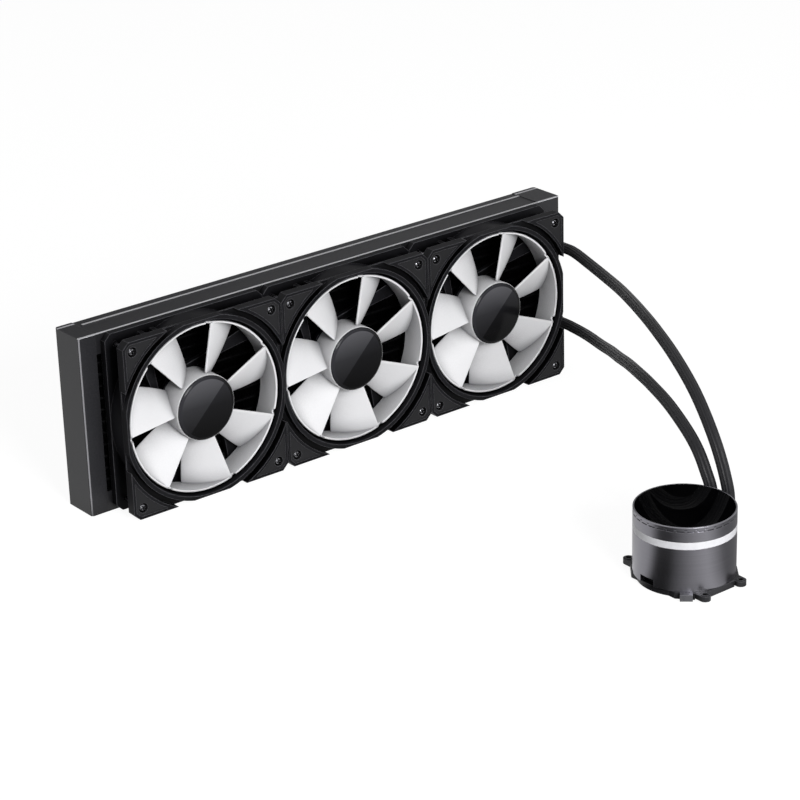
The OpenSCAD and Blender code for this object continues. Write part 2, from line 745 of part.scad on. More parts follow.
module pump_housing() color("#5d5c62") difference() {
  at_pump() difference() {
    translate([0, 0, base_z]) cylinder(h = light_z - base_z, r = body_r, $fn = 192);
    translate([0, 0, chamber_z]) cylinder(h = pump_h, r = body_ri, $fn = 128);
    translate([0, 0, board_z]) cylinder(h = pump_h, r = body_ri + 1.2, $fn = 128);
    translate([0, 0, base_z - 1]) cylinder(h = pump_h, r = throat_r);
    translate([-body_r - 1, -slot_w / 2, base_z - 1]) cube([slot_d + 1, slot_w, slot_h + 1]);
    for (k = [0:plate_screw_n - 1]) rotate([0, 0, 360 / plate_screw_n * (k + 0.5)])
      translate([plate_screw_at, 0, base_z - 1]) cylinder(h = 1 + floor_t - 0.6, r = 0.9 + fit, $fn = 24);
  }
  for (s = [-1, 1]) at_elbow(s) translate([body_ri - 2, 0, 0]) rotate([0, 90, 0])
    cylinder(h = body_wall + 4, r = hose_r + fit);
}

module light_ring() color("#f2f2f4") at_pump() translate([0, 0, light_z]) difference() {
  cylinder(h = light_h, r = body_r, $fn = 192);
  translate([0, 0, -1]) cylinder(h = light_h + 2, r = body_ri, $fn = 128);
}

module top_ring() color("#6a696f") at_pump() difference() {
  rotate_extrude($fn = 192) polygon([[body_ri, top_z], [body_r, top_z], [body_r, pump_h - top_bevel * 1.6],
    [body_r - top_bevel, pump_h], [glass_r + fit, pump_h],
    [glass_r + fit, pump_h - glass_t - board_t], [body_ri, pump_h - glass_t - board_t]]);
}

module glass_cover() color("#08080a") at_pump() translate([0, 0, pump_h - glass_t])
  cylinder(h = glass_t, r = glass_r, $fn = 192);

module display_board() color("#1f4a30") at_pump() translate([0, 0, pump_h - glass_t - board_t])
  cylinder(h = board_t, r = glass_r, $fn = 128);

module control_board() color("#1f4a30") at_pump() translate([0, 0, board_z])
  cylinder(h = board_t, r = body_ri + 1.2 - fit, $fn = 128);

// Chamber with the round space in which the impeller turns and its two ways for the water
module pump_chamber() color("#2a2a2c") at_pump() difference() {
  translate([0, 0, chamber_z]) cylinder(h = chamber_h, r = chamber_r, $fn = 128);
  translate([0, 0, chamber_z + 2]) cylinder(h = chamber_h, r = volute_r);
  translate([0, 0, chamber_z - 1]) cylinder(h = 4, r = pump_shaft_r + fit);
  for (s = [-1, 1]) translate([s * (volute_r - 3.5), 0, chamber_z - 1]) cylinder(h = 4, r = 2.2);
  // room for the cable socket
  translate([-body_r, -slot_w / 2, base_z]) cube([slot_d + fit, slot_w, slot_h + fit]);
}

module chamber_plate() color("#3a3a3c") at_pump() difference() {
  union() {
    translate([0, 0, plate_z]) cylinder(h = 1.5, r = chamber_r, $fn = 128);
    translate([0, 0, plate_z]) cylinder(h = can_top - plate_z, r = can_r);
  }
  translate([0, 0, plate_z - 1]) cylinder(h = can_top - plate_z + 1 - can_wall, r = can_r - can_wall);
}

module pump_stator() color("#6a4a30") at_pump()
  translate([0, 0, plate_z + 1.5]) linear_extrude(can_top - plate_z - 2.5) difference() {
    union() {
      circle(can_r + 2);
      for (a = [0:60:300]) rotate([0, 0, a]) translate([0, -2]) square([chamber_r - 5, 4]);
      difference() {
        circle(chamber_r - 3);
        circle(chamber_r - 5.5);
      }
    }
    circle(can_r + fit);
  }

module impeller() color("#c8c8cc") at_pump() {
  z0 = chamber_z + 2 + impeller_gap;
  difference() {
    union() {
      translate([0, 0, z0]) cylinder(h = 1.6, r = volute_r - impeller_gap);
      for (k = [0:vane_n - 1]) rotate([0, 0, 360 / vane_n * k]) translate([magnet_r - 1, -0.6, z0])
        cube([volute_r - impeller_gap - magnet_r, 1.2, 5.5]);
      translate([0, 0, z0]) cylinder(h = can_top - can_wall - impeller_gap - z0, r = magnet_r);
    }
    translate([0, 0, z0 - 1]) cylinder(h = pump_h, r = pump_shaft_r + fit);
  }
}

module pump_shaft() color("#d8d8da") at_pump()
  translate([0, 0, chamber_z + 0.3]) cylinder(h = can_top - can_wall - chamber_z - 0.3, r = pump_shaft_r);

module cable_socket() color("#0c0c0e") at_pump()
  translate([0, -slot_w / 2 + 0.4, base_z]) {
    translate([-body_r + slot_d - 0.8, 0, 0]) cube([0.8, slot_w - 0.8, slot_h - fit]);
    translate([-body_r + 0.8, 0, 0]) cube([slot_d - 0.8, slot_w - 0.8, 0.4]);
  }

module cold_plate() color("#b06a3c") at_pump() {
  skive_n = floor(skive_w / (skive_t + skive_gap));
  difference() {
    cylinder(h = base_z, r = plate_r, $fn = 128);
    translate([0, 0, base_z - 1]) difference() {
      cylinder(h = 2, r = seal_r0 + seal_w + fit);
      translate([0, 0, -1]) cylinder(h = 4, r = seal_r0 - fit);
    }
    for (k = [0:plate_screw_n - 1]) rotate([0, 0, 360 / plate_screw_n * (k + 0.5)])
      translate([plate_screw_at, 0, -1]) {
        cylinder(h = base_z + 2, r = 0.9 + fit, $fn = 24);
        cylinder(h = 2.4, r = 1.7 + fit, $fn = 24);
      }
  }
  for (k = [0:skive_n - 1])
    translate([-skive_w / 2 + k * (skive_t + skive_gap), -skive_w / 2, base_z - e])
      cube([skive_t, skive_w, 2 + e]);
}

module plate_seal() color("#141416") at_pump() translate([0, 0, base_z - 1]) difference() {
  cylinder(h = 1, r = seal_r0 + seal_w);
  translate([0, 0, -1]) cylinder(h = 3, r = seal_r0);
}

module plate_screws() color("#9a9a9e") at_pump()
  for (k = [0:plate_screw_n - 1]) rotate([0, 0, 360 / plate_screw_n * (k + 0.5)])
    translate([plate_screw_at, 0, 0.2]) {
      cylinder(h = 1.2, r = 1.7, $fn = 24);
      cylinder(h = base_z + floor_t - 1.2, r = 0.9, $fn = 24);
    }

// Keeps a shape at the place of the locking key, on the front left diagonal
module at_key() {
  rotate([0, 0, 228]) translate([body_ri, 0, 0]) children();
}

// Plan of the ears: a round end on a short neck
module ear_plan() {
  for (x = [-ear_x, ear_x], y = [-1, 1]) translate([x, y * ear_y]) {
    circle(ear_r, $fn = 48);
    translate([-ear_r, -y * ear_r - ear_r]) square(2 * ear_r);
  }
}

// Plan of the plate: the body's round and a square with cut corners
module plate_plan() {
  x = body_r - plate_in;
  y = body_r;
  circle(body_r - 2, $fn = 128);
  polygon([for (q = [[1, 1], [-1, 1], [-1, -1], [1, -1]])
    each q[0] * q[1] > 0 ? [[q[0] * x, q[1] * y * corner_share], [q[0] * x * corner_share, q[1] * y]]
                         : [[q[0] * x * corner_share, q[1] * y], [q[0] * x, q[1] * y * corner_share]]]);
}

module bracket_cuts() {
  circle(body_ri, $fn = 128);
  at_key() translate([-3, -key_w / 2 - fit]) square([0.75 * body_ri, key_w + 2 * fit]);
  for (x = [-ear_x, ear_x], y = [-ear_y, ear_y]) translate([x, y]) circle(ear_sleeve_r + fit, $fn = 40);
}

module mount_bracket() color("#2e2e30") at_pump() {
  translate([0, 0, bracket_lift]) linear_extrude(base_z - bracket_lift) difference() {
    plate_plan();
    bracket_cuts();
    // the ears' undersides lie higher than the plate's
    ear_plan();
  }
  translate([0, 0, bracket_lift + ear_lift]) linear_extrude(base_z - bracket_lift - ear_lift) difference() {
    union() {
      intersection() {
        plate_plan();
        ear_plan();
      }
      ear_plan();
    }
    bracket_cuts();
  }
}

module ear_bushings() color("#a4a4a8") at_pump()
  for (x = [-ear_x, ear_x], y = [-ear_y, ear_y]) translate([x, y, bracket_lift + ear_lift])
    linear_extrude(base_z - bracket_lift - ear_lift + 0.3) difference() {
      circle(ear_sleeve_r, $fn = 40);
      circle(ear_hole_r, $fn = 40);
    }

module bracket_key() color("#8e8e92") at_pump()
  translate([0, 0, bracket_lift]) linear_extrude(base_z - bracket_lift) at_key()
    translate([0.4, -key_w / 2]) square([body_wall + key_out - 0.4, key_w]);

// Elbow: a spigot in the housing, a round body and an upright leg for the hose
module elbow(side) {
  at_elbow(side) {
    translate([body_ri + 0.3, 0, 0]) rotate([0, 90, 0]) cylinder(h = elbow_x - body_ri - 0.3, r = hose_r);
    translate([body_r + 0.2, 0, 0]) rotate([0, 90, 0]) cylinder(h = elbow_out - 0.2, r = elbow_r);
    translate([elbow_x, 0, 0]) sphere(r = elbow_r);
    translate([elbow_x, 0, 0]) cylinder(h = elbow_h - 4, r = elbow_r);
    translate([elbow_x, 0, 0]) cylinder(h = elbow_h, r = hose_r + 0.5);
  }
}

module elbow_upper() color("#3a3a3d") elbow(-1);
module elbow_lower() color("#3a3a3d") elbow(1);

module collar(l) {
  difference() {
    cylinder(h = l, r = hose_r + collar_gap + collar_wall);
    translate([0, 0, -1]) cylinder(h = l + 2, r = hose_r + collar_gap);
  }
}

module hose_collars() color("#1e1e20") {
  for (z = [port_lo_z, port_hi_z])
    translate([port_x, rad_front_y - port_len, z]) rotate([90, 0, 0]) collar(port_collar_l);
  for (s = [-1, 1]) at_elbow(s) translate([elbow_x, 0, elbow_h]) collar(collar_l);
}

// Sweep of a round hose along its route
function unit(v) = v / norm(v);
function heading(p, i) = unit(p[min(i + 1, len(p) - 1)] - p[max(i - 1, 0)]);
function hose_ring(p, i) =
  let (
    t = heading(p, i),
    n = unit(cross(t, [1, 0, 0])),
    b = cross(t, n)
  ) [for (k = [0:hose_sides - 1]) p[i] + hose_r * (cos(36 * k) * n + sin(36 * k) * b)];

module hose(p) {
  n = hose_sides;
  m = len(p) - 1;
  faces = [
    for (j = [0:m - 1], i = [0:n - 1]) let (a = j * n + i, b = j * n + (i + 1) % n)
      each [[a, b + n, b], [a, a + n, b + n]],
    [for (i = [0:n - 1]) i],
    [for (i = [n - 1:-1:0]) m * n + i]
  ];
  polyhedron([for (i = [0:m]) each hose_ring(p, i)], faces);
}

module hose_upper() color("#2e2e30") hose(upper_route);
module hose_lower() color("#2e2e30") hose(lower_route);

tank_plain();
tank_port();
side_plate_top();
side_plate_bottom();
flat_tubes();
fins();
fill_plug();
port_upper();
port_lower();
fan_frame_left();
fan_frame_mid();
fan_frame_right();
rotor_left();
rotor_mid();
rotor_right();
hub_cap_left();
hub_cap_mid();
hub_cap_right();
fan_shaft_left();
fan_shaft_mid();
fan_shaft_right();
fan_bearing_left();
fan_bearing_mid();
fan_bearing_right();
fan_stator_left();
fan_stator_mid();
fan_stator_right();
fan_board_left();
fan_board_mid();
fan_board_right();
corner_pads_left();
corner_pads_mid();
corner_pads_right();
fan_screws_left();
fan_screws_mid();
fan_screws_right();
pump_housing();
light_ring();
top_ring();
glass_cover();
display_board();
control_board();
pump_chamber();
chamber_plate();
pump_stator();
impeller();
pump_shaft();
cable_socket();
cold_plate();
plate_seal();
plate_screws();
mount_bracket();
ear_bushings();
bracket_key();
elbow_upper();
elbow_lower();
hose_collars();
hose_upper();
hose_lower();
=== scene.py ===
"""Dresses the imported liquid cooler: a radiator with three ringed fans, two sleeved hoses and a round
pump head. Metres, +Z up, the fans blow along +Y. Each operator makes one piece or group of pieces."""

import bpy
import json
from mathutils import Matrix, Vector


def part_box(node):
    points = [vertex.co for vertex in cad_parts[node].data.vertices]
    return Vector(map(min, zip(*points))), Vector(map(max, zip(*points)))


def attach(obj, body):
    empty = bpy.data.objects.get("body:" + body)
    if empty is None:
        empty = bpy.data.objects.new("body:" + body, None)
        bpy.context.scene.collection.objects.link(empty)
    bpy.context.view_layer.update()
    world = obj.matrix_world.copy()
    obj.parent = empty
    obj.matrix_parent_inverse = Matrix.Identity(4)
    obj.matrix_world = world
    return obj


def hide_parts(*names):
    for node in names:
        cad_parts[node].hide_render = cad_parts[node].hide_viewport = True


bl_info = {
    "name": "Liquid cooler dress",
    "version": (1, 0, 0),
    "blender": (4, 5, 0),
    "location": "3D View > Sidebar > Cooler",
    "description": "Rotors, hoses, radiator, pump head and studio of a three fan liquid cooler",
    "category": "Object",
}

import json
import math

import bmesh
import bpy
from bpy.props import FloatProperty, FloatVectorProperty, IntProperty, PointerProperty
from mathutils import Matrix, Vector

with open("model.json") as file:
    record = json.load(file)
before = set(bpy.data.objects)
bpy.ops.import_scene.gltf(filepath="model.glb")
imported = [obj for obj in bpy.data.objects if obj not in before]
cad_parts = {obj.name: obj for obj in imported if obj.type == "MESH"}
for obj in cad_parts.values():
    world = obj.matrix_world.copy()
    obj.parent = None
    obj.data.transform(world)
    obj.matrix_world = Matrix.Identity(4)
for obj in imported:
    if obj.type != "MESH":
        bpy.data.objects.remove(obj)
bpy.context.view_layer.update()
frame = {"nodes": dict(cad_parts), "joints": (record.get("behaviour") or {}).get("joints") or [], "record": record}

MM = 0.001
SIDES = ("left", "mid", "right")
# Fan axes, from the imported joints
FAN_AXIS = {s: Vector(next(j for j in frame["joints"] if j["name"] == "fan_spin_" + s)["pos_m"])
            for s in SIDES}
FAN_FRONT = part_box("fan_frame_mid")[0].y
PUMP = Vector(next(j for j in frame["joints"] if j["name"] == "impeller_spin")["pos_m"])
PUMP.z = 0.0
# Wall of the metal ring round the pump head
PUMP_WALL = 3.7 * MM
# Lowest and highest corner of the radiator, and of the side plate that runs from tank to tank
RAD_LOW, RAD_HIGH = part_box("tank_plain")[0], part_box("tank_port")[1]
CORE_LOW, CORE_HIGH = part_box("side_plate_bottom")
# The body that stands still
ROOT = "cooler"
# Sockets of a Mix node that mixes colours
MIX_BY, MIX_FROM, MIX_TO, MIXED = 0, 6, 7, 2


def linear(code):
    """sRGB hex to the linear colour that a shader takes."""
    parts = [int(code[i : i + 2], 16) / 255 for i in (1, 3, 5)]
    return tuple(c / 12.92 if c <= 0.04045 else ((c + 0.055) / 1.055) ** 2.4 for c in parts) + (1.0,)


def add_node(tree, kind, settings=None, values=None, links=None, stops=None):
    """One node with its settings, socket values, links from other nodes' outputs and colour stops."""
    n = tree.nodes.new("ShaderNode" + kind)
    for key, value in (settings or {}).items():
        setattr(n, key, value)
    for key, value in (values or {}).items():
        n.inputs[key].default_value = value
    for key, source in (links or {}).items():
        tree.links.new(source, n.inputs[key])
    for i, (position, colour) in enumerate(stops or ()):
        element = n.color_ramp.elements[i] if i < 2 else n.color_ramp.elements.new(position)
        element.position, element.color = position, linear(colour)
    return n


def surface(name, **values):
    """A material and its node tree. Its shader takes the values that are the same all over."""
    m = bpy.data.materials.new(name)
    m.use_nodes = True
    shader = m.node_tree.nodes["Principled BSDF"]
    for key, value in values.items():
        shader.inputs[key.replace("_", " ")].default_value = value
    return m, m.node_tree


def wire(m, shade, rough, bump):
    """Leads colour, roughness and relief to a material's shader."""
    shader = m.node_tree.nodes["Principled BSDF"]
    for socket, source in (("Base Color", shade), ("Roughness", rough), ("Normal", bump)):
        m.node_tree.links.new(source, shader.inputs[socket])
    return m


def skin(m, tree, grain, relief, low, high, rough, edge=0.0, edge_highlight=None, marks=(), crevice_shade=None, reach=9.0):
    """Finishes a material with two near shades, a fine relief and a roughness that all drift over one
    grain size. Grain, height of the relief, radius of a rounded edge and the reach of the painted crevice
    shade are in millimetres. Edges may take a painted highlight, crevices a painted shade, and marks
    colours of their own."""
    coords = add_node(tree, "TexCoord")
    noise = add_node(tree, "TexNoise", values={"Scale": 1000.0 / grain, "Detail": 3.0},
                     links={"Vector": coords.outputs["Object"]})
    shade = add_node(tree, "ValToRGB", links={"Fac": noise.outputs["Fac"]},
                     stops=[(0.35, low), (0.65, high)]).outputs["Color"]
    bump = add_node(tree, "Bump", values={"Strength": 0.6, "Distance": relief * MM},
                    links={"Height": noise.outputs["Fac"]})
    # marks paint their colour over the shade; in this script each mark is a painted highlight line
    for mark, colour in marks:
        shade = add_node(tree, "Mix", {"data_type": "RGBA"}, {MIX_TO: linear(colour)},
                         {MIX_BY: mark(tree), MIX_FROM: shade}).outputs[MIXED]
    # painted shade: the colour darkens towards a given dark where ambient occlusion finds walls within reach
    if crevice_shade:
        open_to = add_node(tree, "AmbientOcclusion", {"samples": 12}, {"Distance": reach * MM})
        depth = add_node(tree, "MapRange", values={"From Min": 0.25, "From Max": 0.85},
                         links={"Value": open_to.outputs["AO"]})
        shade = add_node(tree, "Mix", {"data_type": "RGBA"}, {MIX_FROM: linear(crevice_shade)},
                         {MIX_BY: depth.outputs["Result"], MIX_TO: shade}).outputs[MIXED]
    if edge:
        rounded = add_node(tree, "Bevel", {"samples": 6}, {"Radius": edge * MM})
        tree.links.new(rounded.outputs["Normal"], bump.inputs["Normal"])
        if edge_highlight:
            # painted highlight: an edge is made paler where it stands proud and its rounded normal leans away from
            # the flat one
            flat = add_node(tree, "NewGeometry")
            lean = add_node(tree, "VectorMath", {"operation": "DOT_PRODUCT"},
                            {}, {0: rounded.outputs["Normal"], 1: flat.outputs["Normal"]})
            near = add_node(tree, "MapRange", values={"From Min": 0.997, "From Max": 0.93},
                            links={"Value": lean.outputs["Value"]})
            bare = add_node(tree, "AmbientOcclusion", {"samples": 4}, {"Distance": 0.002})
            proud = add_node(tree, "MapRange", values={"From Min": 0.6, "From Max": 0.85},
                             links={"Value": bare.outputs["AO"]})
            edge_highlight_mask = add_node(tree, "Math", {"operation": "MULTIPLY"}, {},
                           {0: near.outputs["Result"], 1: proud.outputs["Result"]})
            shade = add_node(tree, "Mix", {"data_type": "RGBA"}, {MIX_TO: linear(edge_highlight)},
                             {MIX_BY: edge_highlight_mask.outputs["Value"], MIX_FROM: shade}).outputs[MIXED]
    drift = add_node(tree, "MapRange",
                     values={"From Min": 0.3, "From Max": 0.7, "To Min": rough[0], "To Max": rough[1]},
                     links={"Value": noise.outputs["Fac"]})
    return wire(m, shade, drift.outputs["Result"], bump.outputs["Normal"])


def on_folds(tree):
    """1 where the sheet is rounded over, so that its normal lies along no axis."""
    flat = add_node(tree, "NewGeometry")
    size = add_node(tree, "VectorMath", {"operation": "ABSOLUTE"}, {}, {0: flat.outputs["Normal"]})
    part = add_node(tree, "SeparateXYZ", links={"Vector": size.outputs["Vector"]})
    wide = add_node(tree, "Math", {"operation": "MAXIMUM"}, {}, {0: part.outputs["X"], 1: part.outputs["Y"]})
    most = add_node(tree, "Math", {"operation": "MAXIMUM"}, {},
                    {0: wide.outputs["Value"], 1: part.outputs["Z"]})
    return add_node(tree, "MapRange", values={"From Min": 0.99, "From Max": 0.93},
                    links={"Value": most.outputs["Value"]}).outputs["Result"]


def on_ridges(tree):
    """1 on what stands proud of the upper side plate: its ridge and the rolled edge in front."""
    coords = add_node(tree, "TexCoord")
    part = add_node(tree, "SeparateXYZ", links={"Vector": coords.outputs["Object"]})
    return add_node(tree, "Math", {"operation": "GREATER_THAN"}, {1: RAD_HIGH.z - 0.3 * MM},
                    {0: part.outputs["Z"]}).outputs["Value"]


def on_tank_highlight_lines(tree):
    """1 along the lines of a tank that take a painted highlight: its top front edge, in line with the bead on
    the plate, and the brazed seam near the back of its top."""
    coords = add_node(tree, "TexCoord")
    part = add_node(tree, "SeparateXYZ", links={"Vector": coords.outputs["Object"]})
    seam = add_node(tree, "Math", {"operation": "COMPARE"}, {1: RAD_HIGH.y - 3.2 * MM, 2: 0.9 * MM},
                    {0: part.outputs["Y"]})
    front = add_node(tree, "Math", {"operation": "LESS_THAN"}, {1: RAD_LOW.y + 1.6 * MM},
                     {0: part.outputs["Y"]})
    line = add_node(tree, "Math", {"operation": "MAXIMUM"}, {},
                    {0: seam.outputs["Value"], 1: front.outputs["Value"]})
    top = add_node(tree, "Math", {"operation": "GREATER_THAN"}, {1: RAD_HIGH.z - 0.4 * MM},
                   {0: part.outputs["Z"]})
    return add_node(tree, "Math", {"operation": "MULTIPLY"}, {},
                    {0: line.outputs["Value"], 1: top.outputs["Value"]}).outputs["Value"]


def on_tank_corner_highlights(tree):
    """1 along the middle of the chamfers at a tank's upright outer edges, 0.7 mm wide, where a painted highlight
    goes.
    """
    coords = add_node(tree, "TexCoord")
    size = add_node(tree, "VectorMath", {"operation": "ABSOLUTE"}, {}, {0: coords.outputs["Object"]})
    part = add_node(tree, "SeparateXYZ", links={"Vector": size.outputs["Vector"]})
    line = add_node(tree, "Math", {"operation": "COMPARE"}, {1: RAD_HIGH.x - 0.6 * MM, 2: 0.35 * MM},
                    {0: part.outputs["X"]})
    return add_node(tree, "Math", {"operation": "MULTIPLY"}, {},
                    {0: line.outputs["Value"], 1: on_folds(tree)}).outputs["Value"]


def powder_coated_steel():
    # Powder coat on sheet steel: a satin black skin with a faint orange peel. Folds and ridges take a pale
    # painted highlight, and crevices a painted shade
    return skin(*surface("powder_coated_steel", Specular_IOR_Level=0.3), 1.2, 0.03, "#1b1b1e",
                "#212124", edge=0.5, marks=((on_folds, "#c8c8cc"), (on_ridges, "#c8c8cc")),
                crevice_shade="#040405", reach=16.0, rough=(0.34, 0.42))


def lit_tank_coat():
    # The end tanks take the same coat over a folded and brazed box, painted a shade paler as a lit copy of it
    # for the light on the tanks' end faces; corners and lines take a painted highlight, crevices a painted shade
    return skin(*surface("lit_tank_coat", Specular_IOR_Level=0.23), 1.2, 0.03, "#242427", "#2a2a2d",
                edge=0.5, marks=((on_tank_corner_highlights, "#939397"), (on_tank_highlight_lines, "#c8c8cc")),
                crevice_shade="#060607", reach=18.0, rough=(0.34, 0.42))


def black_coated_aluminium():
    # Fins and tubes dipped in thin black paint, with a dull gleam
    return skin(*surface("black_coated_aluminium", Specular_IOR_Level=0.06), 2.5, 0.03, "#020203",
                "#070708", rough=(0.4, 0.55))


def moulded_frame_plastic():
    # Glass filled nylon from a spark eroded mould: near black, with a dull sheen, crisp edges with a painted
    # highlight, and painted shade in its grooves
    return skin(*surface("moulded_frame_plastic", Specular_IOR_Level=0.06), 0.7, 0.03, "#151517", "#1a1a1d",
                edge=0.6, edge_highlight="#58585c", crevice_shade="#010101", reach=16.0, rough=(0.4, 0.5))


def white_blade_plastic():
    # Opal white plastic of the rotors: matte, with soft shadow where blade and hub meet
    look = surface("white_blade_plastic", Specular_IOR_Level=0.3, Subsurface_Weight=0.05,
                   Subsurface_Radius=(0.002, 0.002, 0.002))
    return skin(*look, 0.6, 0.003, "#e8e8ea", "#ececee", crevice_shade="#3c3c42", reach=24.0, rough=(0.42, 0.5))


def black_cap_painted_reflection():
    # Polished black cap on the hub with a painted reflection: a slant line splits it, and the upper half is
    # painted brighter and fades downwards
    m, tree = surface("black_cap_painted_reflection", Roughness=0.12, Specular_IOR_Level=0.07)
    uv = add_node(tree, "UVMap", {"uv_map": "face"})
    split = add_node(tree, "SeparateXYZ", links={"Vector": uv.outputs["UV"]})
    upper = add_node(tree, "ValToRGB", links={"Fac": split.outputs["Y"]},
                     stops=[(0.1, "#101012"), (0.95, "#58585c"), (0.55, "#303033")])
    lower = add_node(tree, "ValToRGB", links={"Fac": split.outputs["Y"]},
                     stops=[(0.1, "#040405"), (0.95, "#343438"), (0.5, "#161618")])
    # the line runs through the middle at 45 degrees
    slant = add_node(tree, "Math", {"operation": "SUBTRACT"}, {},
                     {0: split.outputs["Y"], 1: split.outputs["X"]})
    side = add_node(tree, "MapRange", values={"From Min": -0.02, "From Max": 0.0},
                    links={"Value": slant.outputs["Value"]})
    shade = add_node(tree, "Mix", {"data_type": "RGBA"}, {},
                     {MIX_BY: side.outputs["Result"], MIX_FROM: lower.outputs["Color"],
                      MIX_TO: upper.outputs["Color"]})
    # outside the flat face the bevel takes a painted reflection, grey at its upper left and black at its lower
    # right
    across = add_node(tree, "MapRange", values={"From Min": -0.7, "From Max": 0.7},
                      links={"Value": slant.outputs["Value"]})
    lit = add_node(tree, "ValToRGB", links={"Fac": across.outputs["Result"]},
                   stops=[(0.3, "#020203"), (0.9, "#333337")])
    far = add_node(tree, "VectorMath", {"operation": "DISTANCE"}, {1: (0.5, 0.5, 0.0)}, {0: uv.outputs["UV"]})
    rim = add_node(tree, "MapRange", values={"From Min": 0.446, "From Max": 0.454},
                   links={"Value": far.outputs["Value"]})
    whole = add_node(tree, "Mix", {"data_type": "RGBA"}, {},
                     {MIX_BY: rim.outputs["Result"], MIX_FROM: shade.outputs[MIXED],
                      MIX_TO: lit.outputs["Color"]})
    tree.links.new(whole.outputs[MIXED], tree.nodes["Principled BSDF"].inputs["Base Color"])
    return m


def rubber_pad():
    # Soft rubber of the corner pads, a shade greyer than the frame, with a painted highlight along its edges
    return skin(*surface("rubber_pad", Specular_IOR_Level=0.2), 0.6, 0.04, "#171719", "#1c1c1e",
                edge=0.5, edge_highlight="#5c5c60", rough=(0.6, 0.75))


def blackened_screw_steel():
    # Black zinc on the screw heads: it still mirrors the lamps, and the recess takes a painted shade
    return skin(*surface("blackened_screw_steel", Metallic=1.0), 1.0, 0.01, "#707074", "#848488",
                edge=0.2, crevice_shade="#050506", reach=2.2, rough=(0.2, 0.3))


def turned_steel():
    # Plain turned steel of the shafts and the cold plate's screws, grey with a soft gleam
    return skin(*surface("turned_steel", Metallic=1.0), 0.8, 0.01, "#77777b", "#8e8e92", edge=0.25,
                rough=(0.25, 0.4))


def satin_fitting():
    # Nickel on the locking key, bead blasted to a satin grey
    return skin(*surface("satin_fitting", Metallic=1.0), 0.5, 0.02, "#737377", "#7e7e82", edge=0.3,
                rough=(0.35, 0.5))


def bracket_steel():
    # Stamped steel of the mounting bracket under satin black paint, with a painted highlight along its edges
    # and painted shade in its crevices
    return skin(*surface("bracket_steel", Specular_IOR_Level=0.25), 1.0, 0.03, "#27272a", "#303033",
                edge=0.4, edge_highlight="#545458", crevice_shade="#040405", rough=(0.35, 0.45))


def anodised_gunmetal():
    # Turned and anodised aluminium: fine lines round the barrel draw the lamps out into bands. The lathe
    # lines stand 0.3 mm apart, as coarse as they need to be to show
    m, tree = surface("anodised_gunmetal", Metallic=1.0)
    coords = add_node(tree, "TexCoord")
    stretch = add_node(tree, "Mapping", values={"Scale": (8.0, 8.0, 3300.0)},
                       links={"Vector": coords.outputs["Object"]})
    lines = add_node(tree, "TexNoise", values={"Scale": 1.0, "Detail": 2.0},
                     links={"Vector": stretch.outputs["Vector"]})
    edge = add_node(tree, "Bevel", {"samples": 6}, {"Radius": 0.0003})
    bump = add_node(tree, "Bump", values={"Strength": 0.5, "Distance": 0.000012},
                    links={"Height": lines.outputs["Fac"], "Normal": edge.outputs["Normal"]})
    shade = add_node(tree, "ValToRGB", links={"Fac": lines.outputs["Fac"]},
                     stops=[(0.3, "#807f85"), (0.7, "#86858b")])
    rough = add_node(tree, "MapRange", values={"From Min": 0.3, "From Max": 0.7, "To Min": 0.28,
                                               "To Max": 0.34}, links={"Value": lines.outputs["Fac"]})
    return wire(m, shade.outputs["Color"], rough.outputs["Result"], bump.outputs["Normal"])


def milky_diffuser():
    # Opal acrylic of the light ring, near white all round and unlit
    return skin(*surface("milky_diffuser"), 3.0, 0.005, "#dcdce0", "#e2e2e6", rough=(0.3, 0.4))


def black_glass():
    # Tempered glass over a black print: it mirrors what stands behind the pump head
    return skin(*surface("black_glass", Specular_IOR_Level=0.22), 25.0, 0.0005, "#030304", "#060607",
                rough=(0.02, 0.04))


def moulded_fitting():
    # Hard black plastic of ports, elbows, collars and the cable socket, with a dull sheen, a painted highlight
    # along its edges and painted shade in its hollows
    return skin(*surface("moulded_fitting", Specular_IOR_Level=0.25), 0.8, 0.02, "#0e0e10", "#151517",
                edge=0.4, edge_highlight="#38383b", crevice_shade="#020203", rough=(0.35, 0.5))


def circuit_board():
    # Green solder mask, darker where no copper lies under it
    return skin(*surface("circuit_board"), 4.0, 0.03, "#12301f", "#1f5034", rough=(0.25, 0.35))


def machined_copper():
    # Fly cut copper of the cold plate: arcs of the cutter, 0.8 mm apart, cross the face
    m, tree = surface("machined_copper", Metallic=1.0)
    coords = add_node(tree, "TexCoord")
    # the cutter's centre lies beside the plate
    place = add_node(tree, "Mapping", values={"Location": (-PUMP.x, -PUMP.y - 0.09, 0.0)},
                     links={"Vector": coords.outputs["Object"]})
    arcs = add_node(tree, "TexWave", {"wave_type": "RINGS", "rings_direction": "Z"},
                    {"Scale": 400.0, "Distortion": 0.6, "Detail": 1.0}, {"Vector": place.outputs["Vector"]})
    shade = add_node(tree, "ValToRGB", links={"Fac": arcs.outputs["Fac"]},
                     stops=[(0.0, "#a8633f"), (1.0, "#c27d58")])
    rough = add_node(tree, "MapRange", values={"To Min": 0.22, "To Max": 0.36},
                     links={"Value": arcs.outputs["Fac"]})
    bump = add_node(tree, "Bump", values={"Strength": 0.5, "Distance": 0.00002},
                    links={"Height": arcs.outputs["Fac"]})
    return wire(m, shade.outputs["Color"], rough.outputs["Result"], bump.outputs["Normal"])


def lacquered_winding():
    # Enamelled copper wire of the coils, brown under clear varnish
    return skin(*surface("lacquered_winding", Metallic=0.6), 1.0, 0.15, "#5a3018", "#7a4424",
                rough=(0.3, 0.4))


def sintered_bronze():
    # Porous bronze of the fan bearings, with a grainy, dull gleam
    return skin(*surface("sintered_bronze", Metallic=0.9), 0.5, 0.04, "#8a6a34", "#a07c40", rough=(0.4, 0.55))


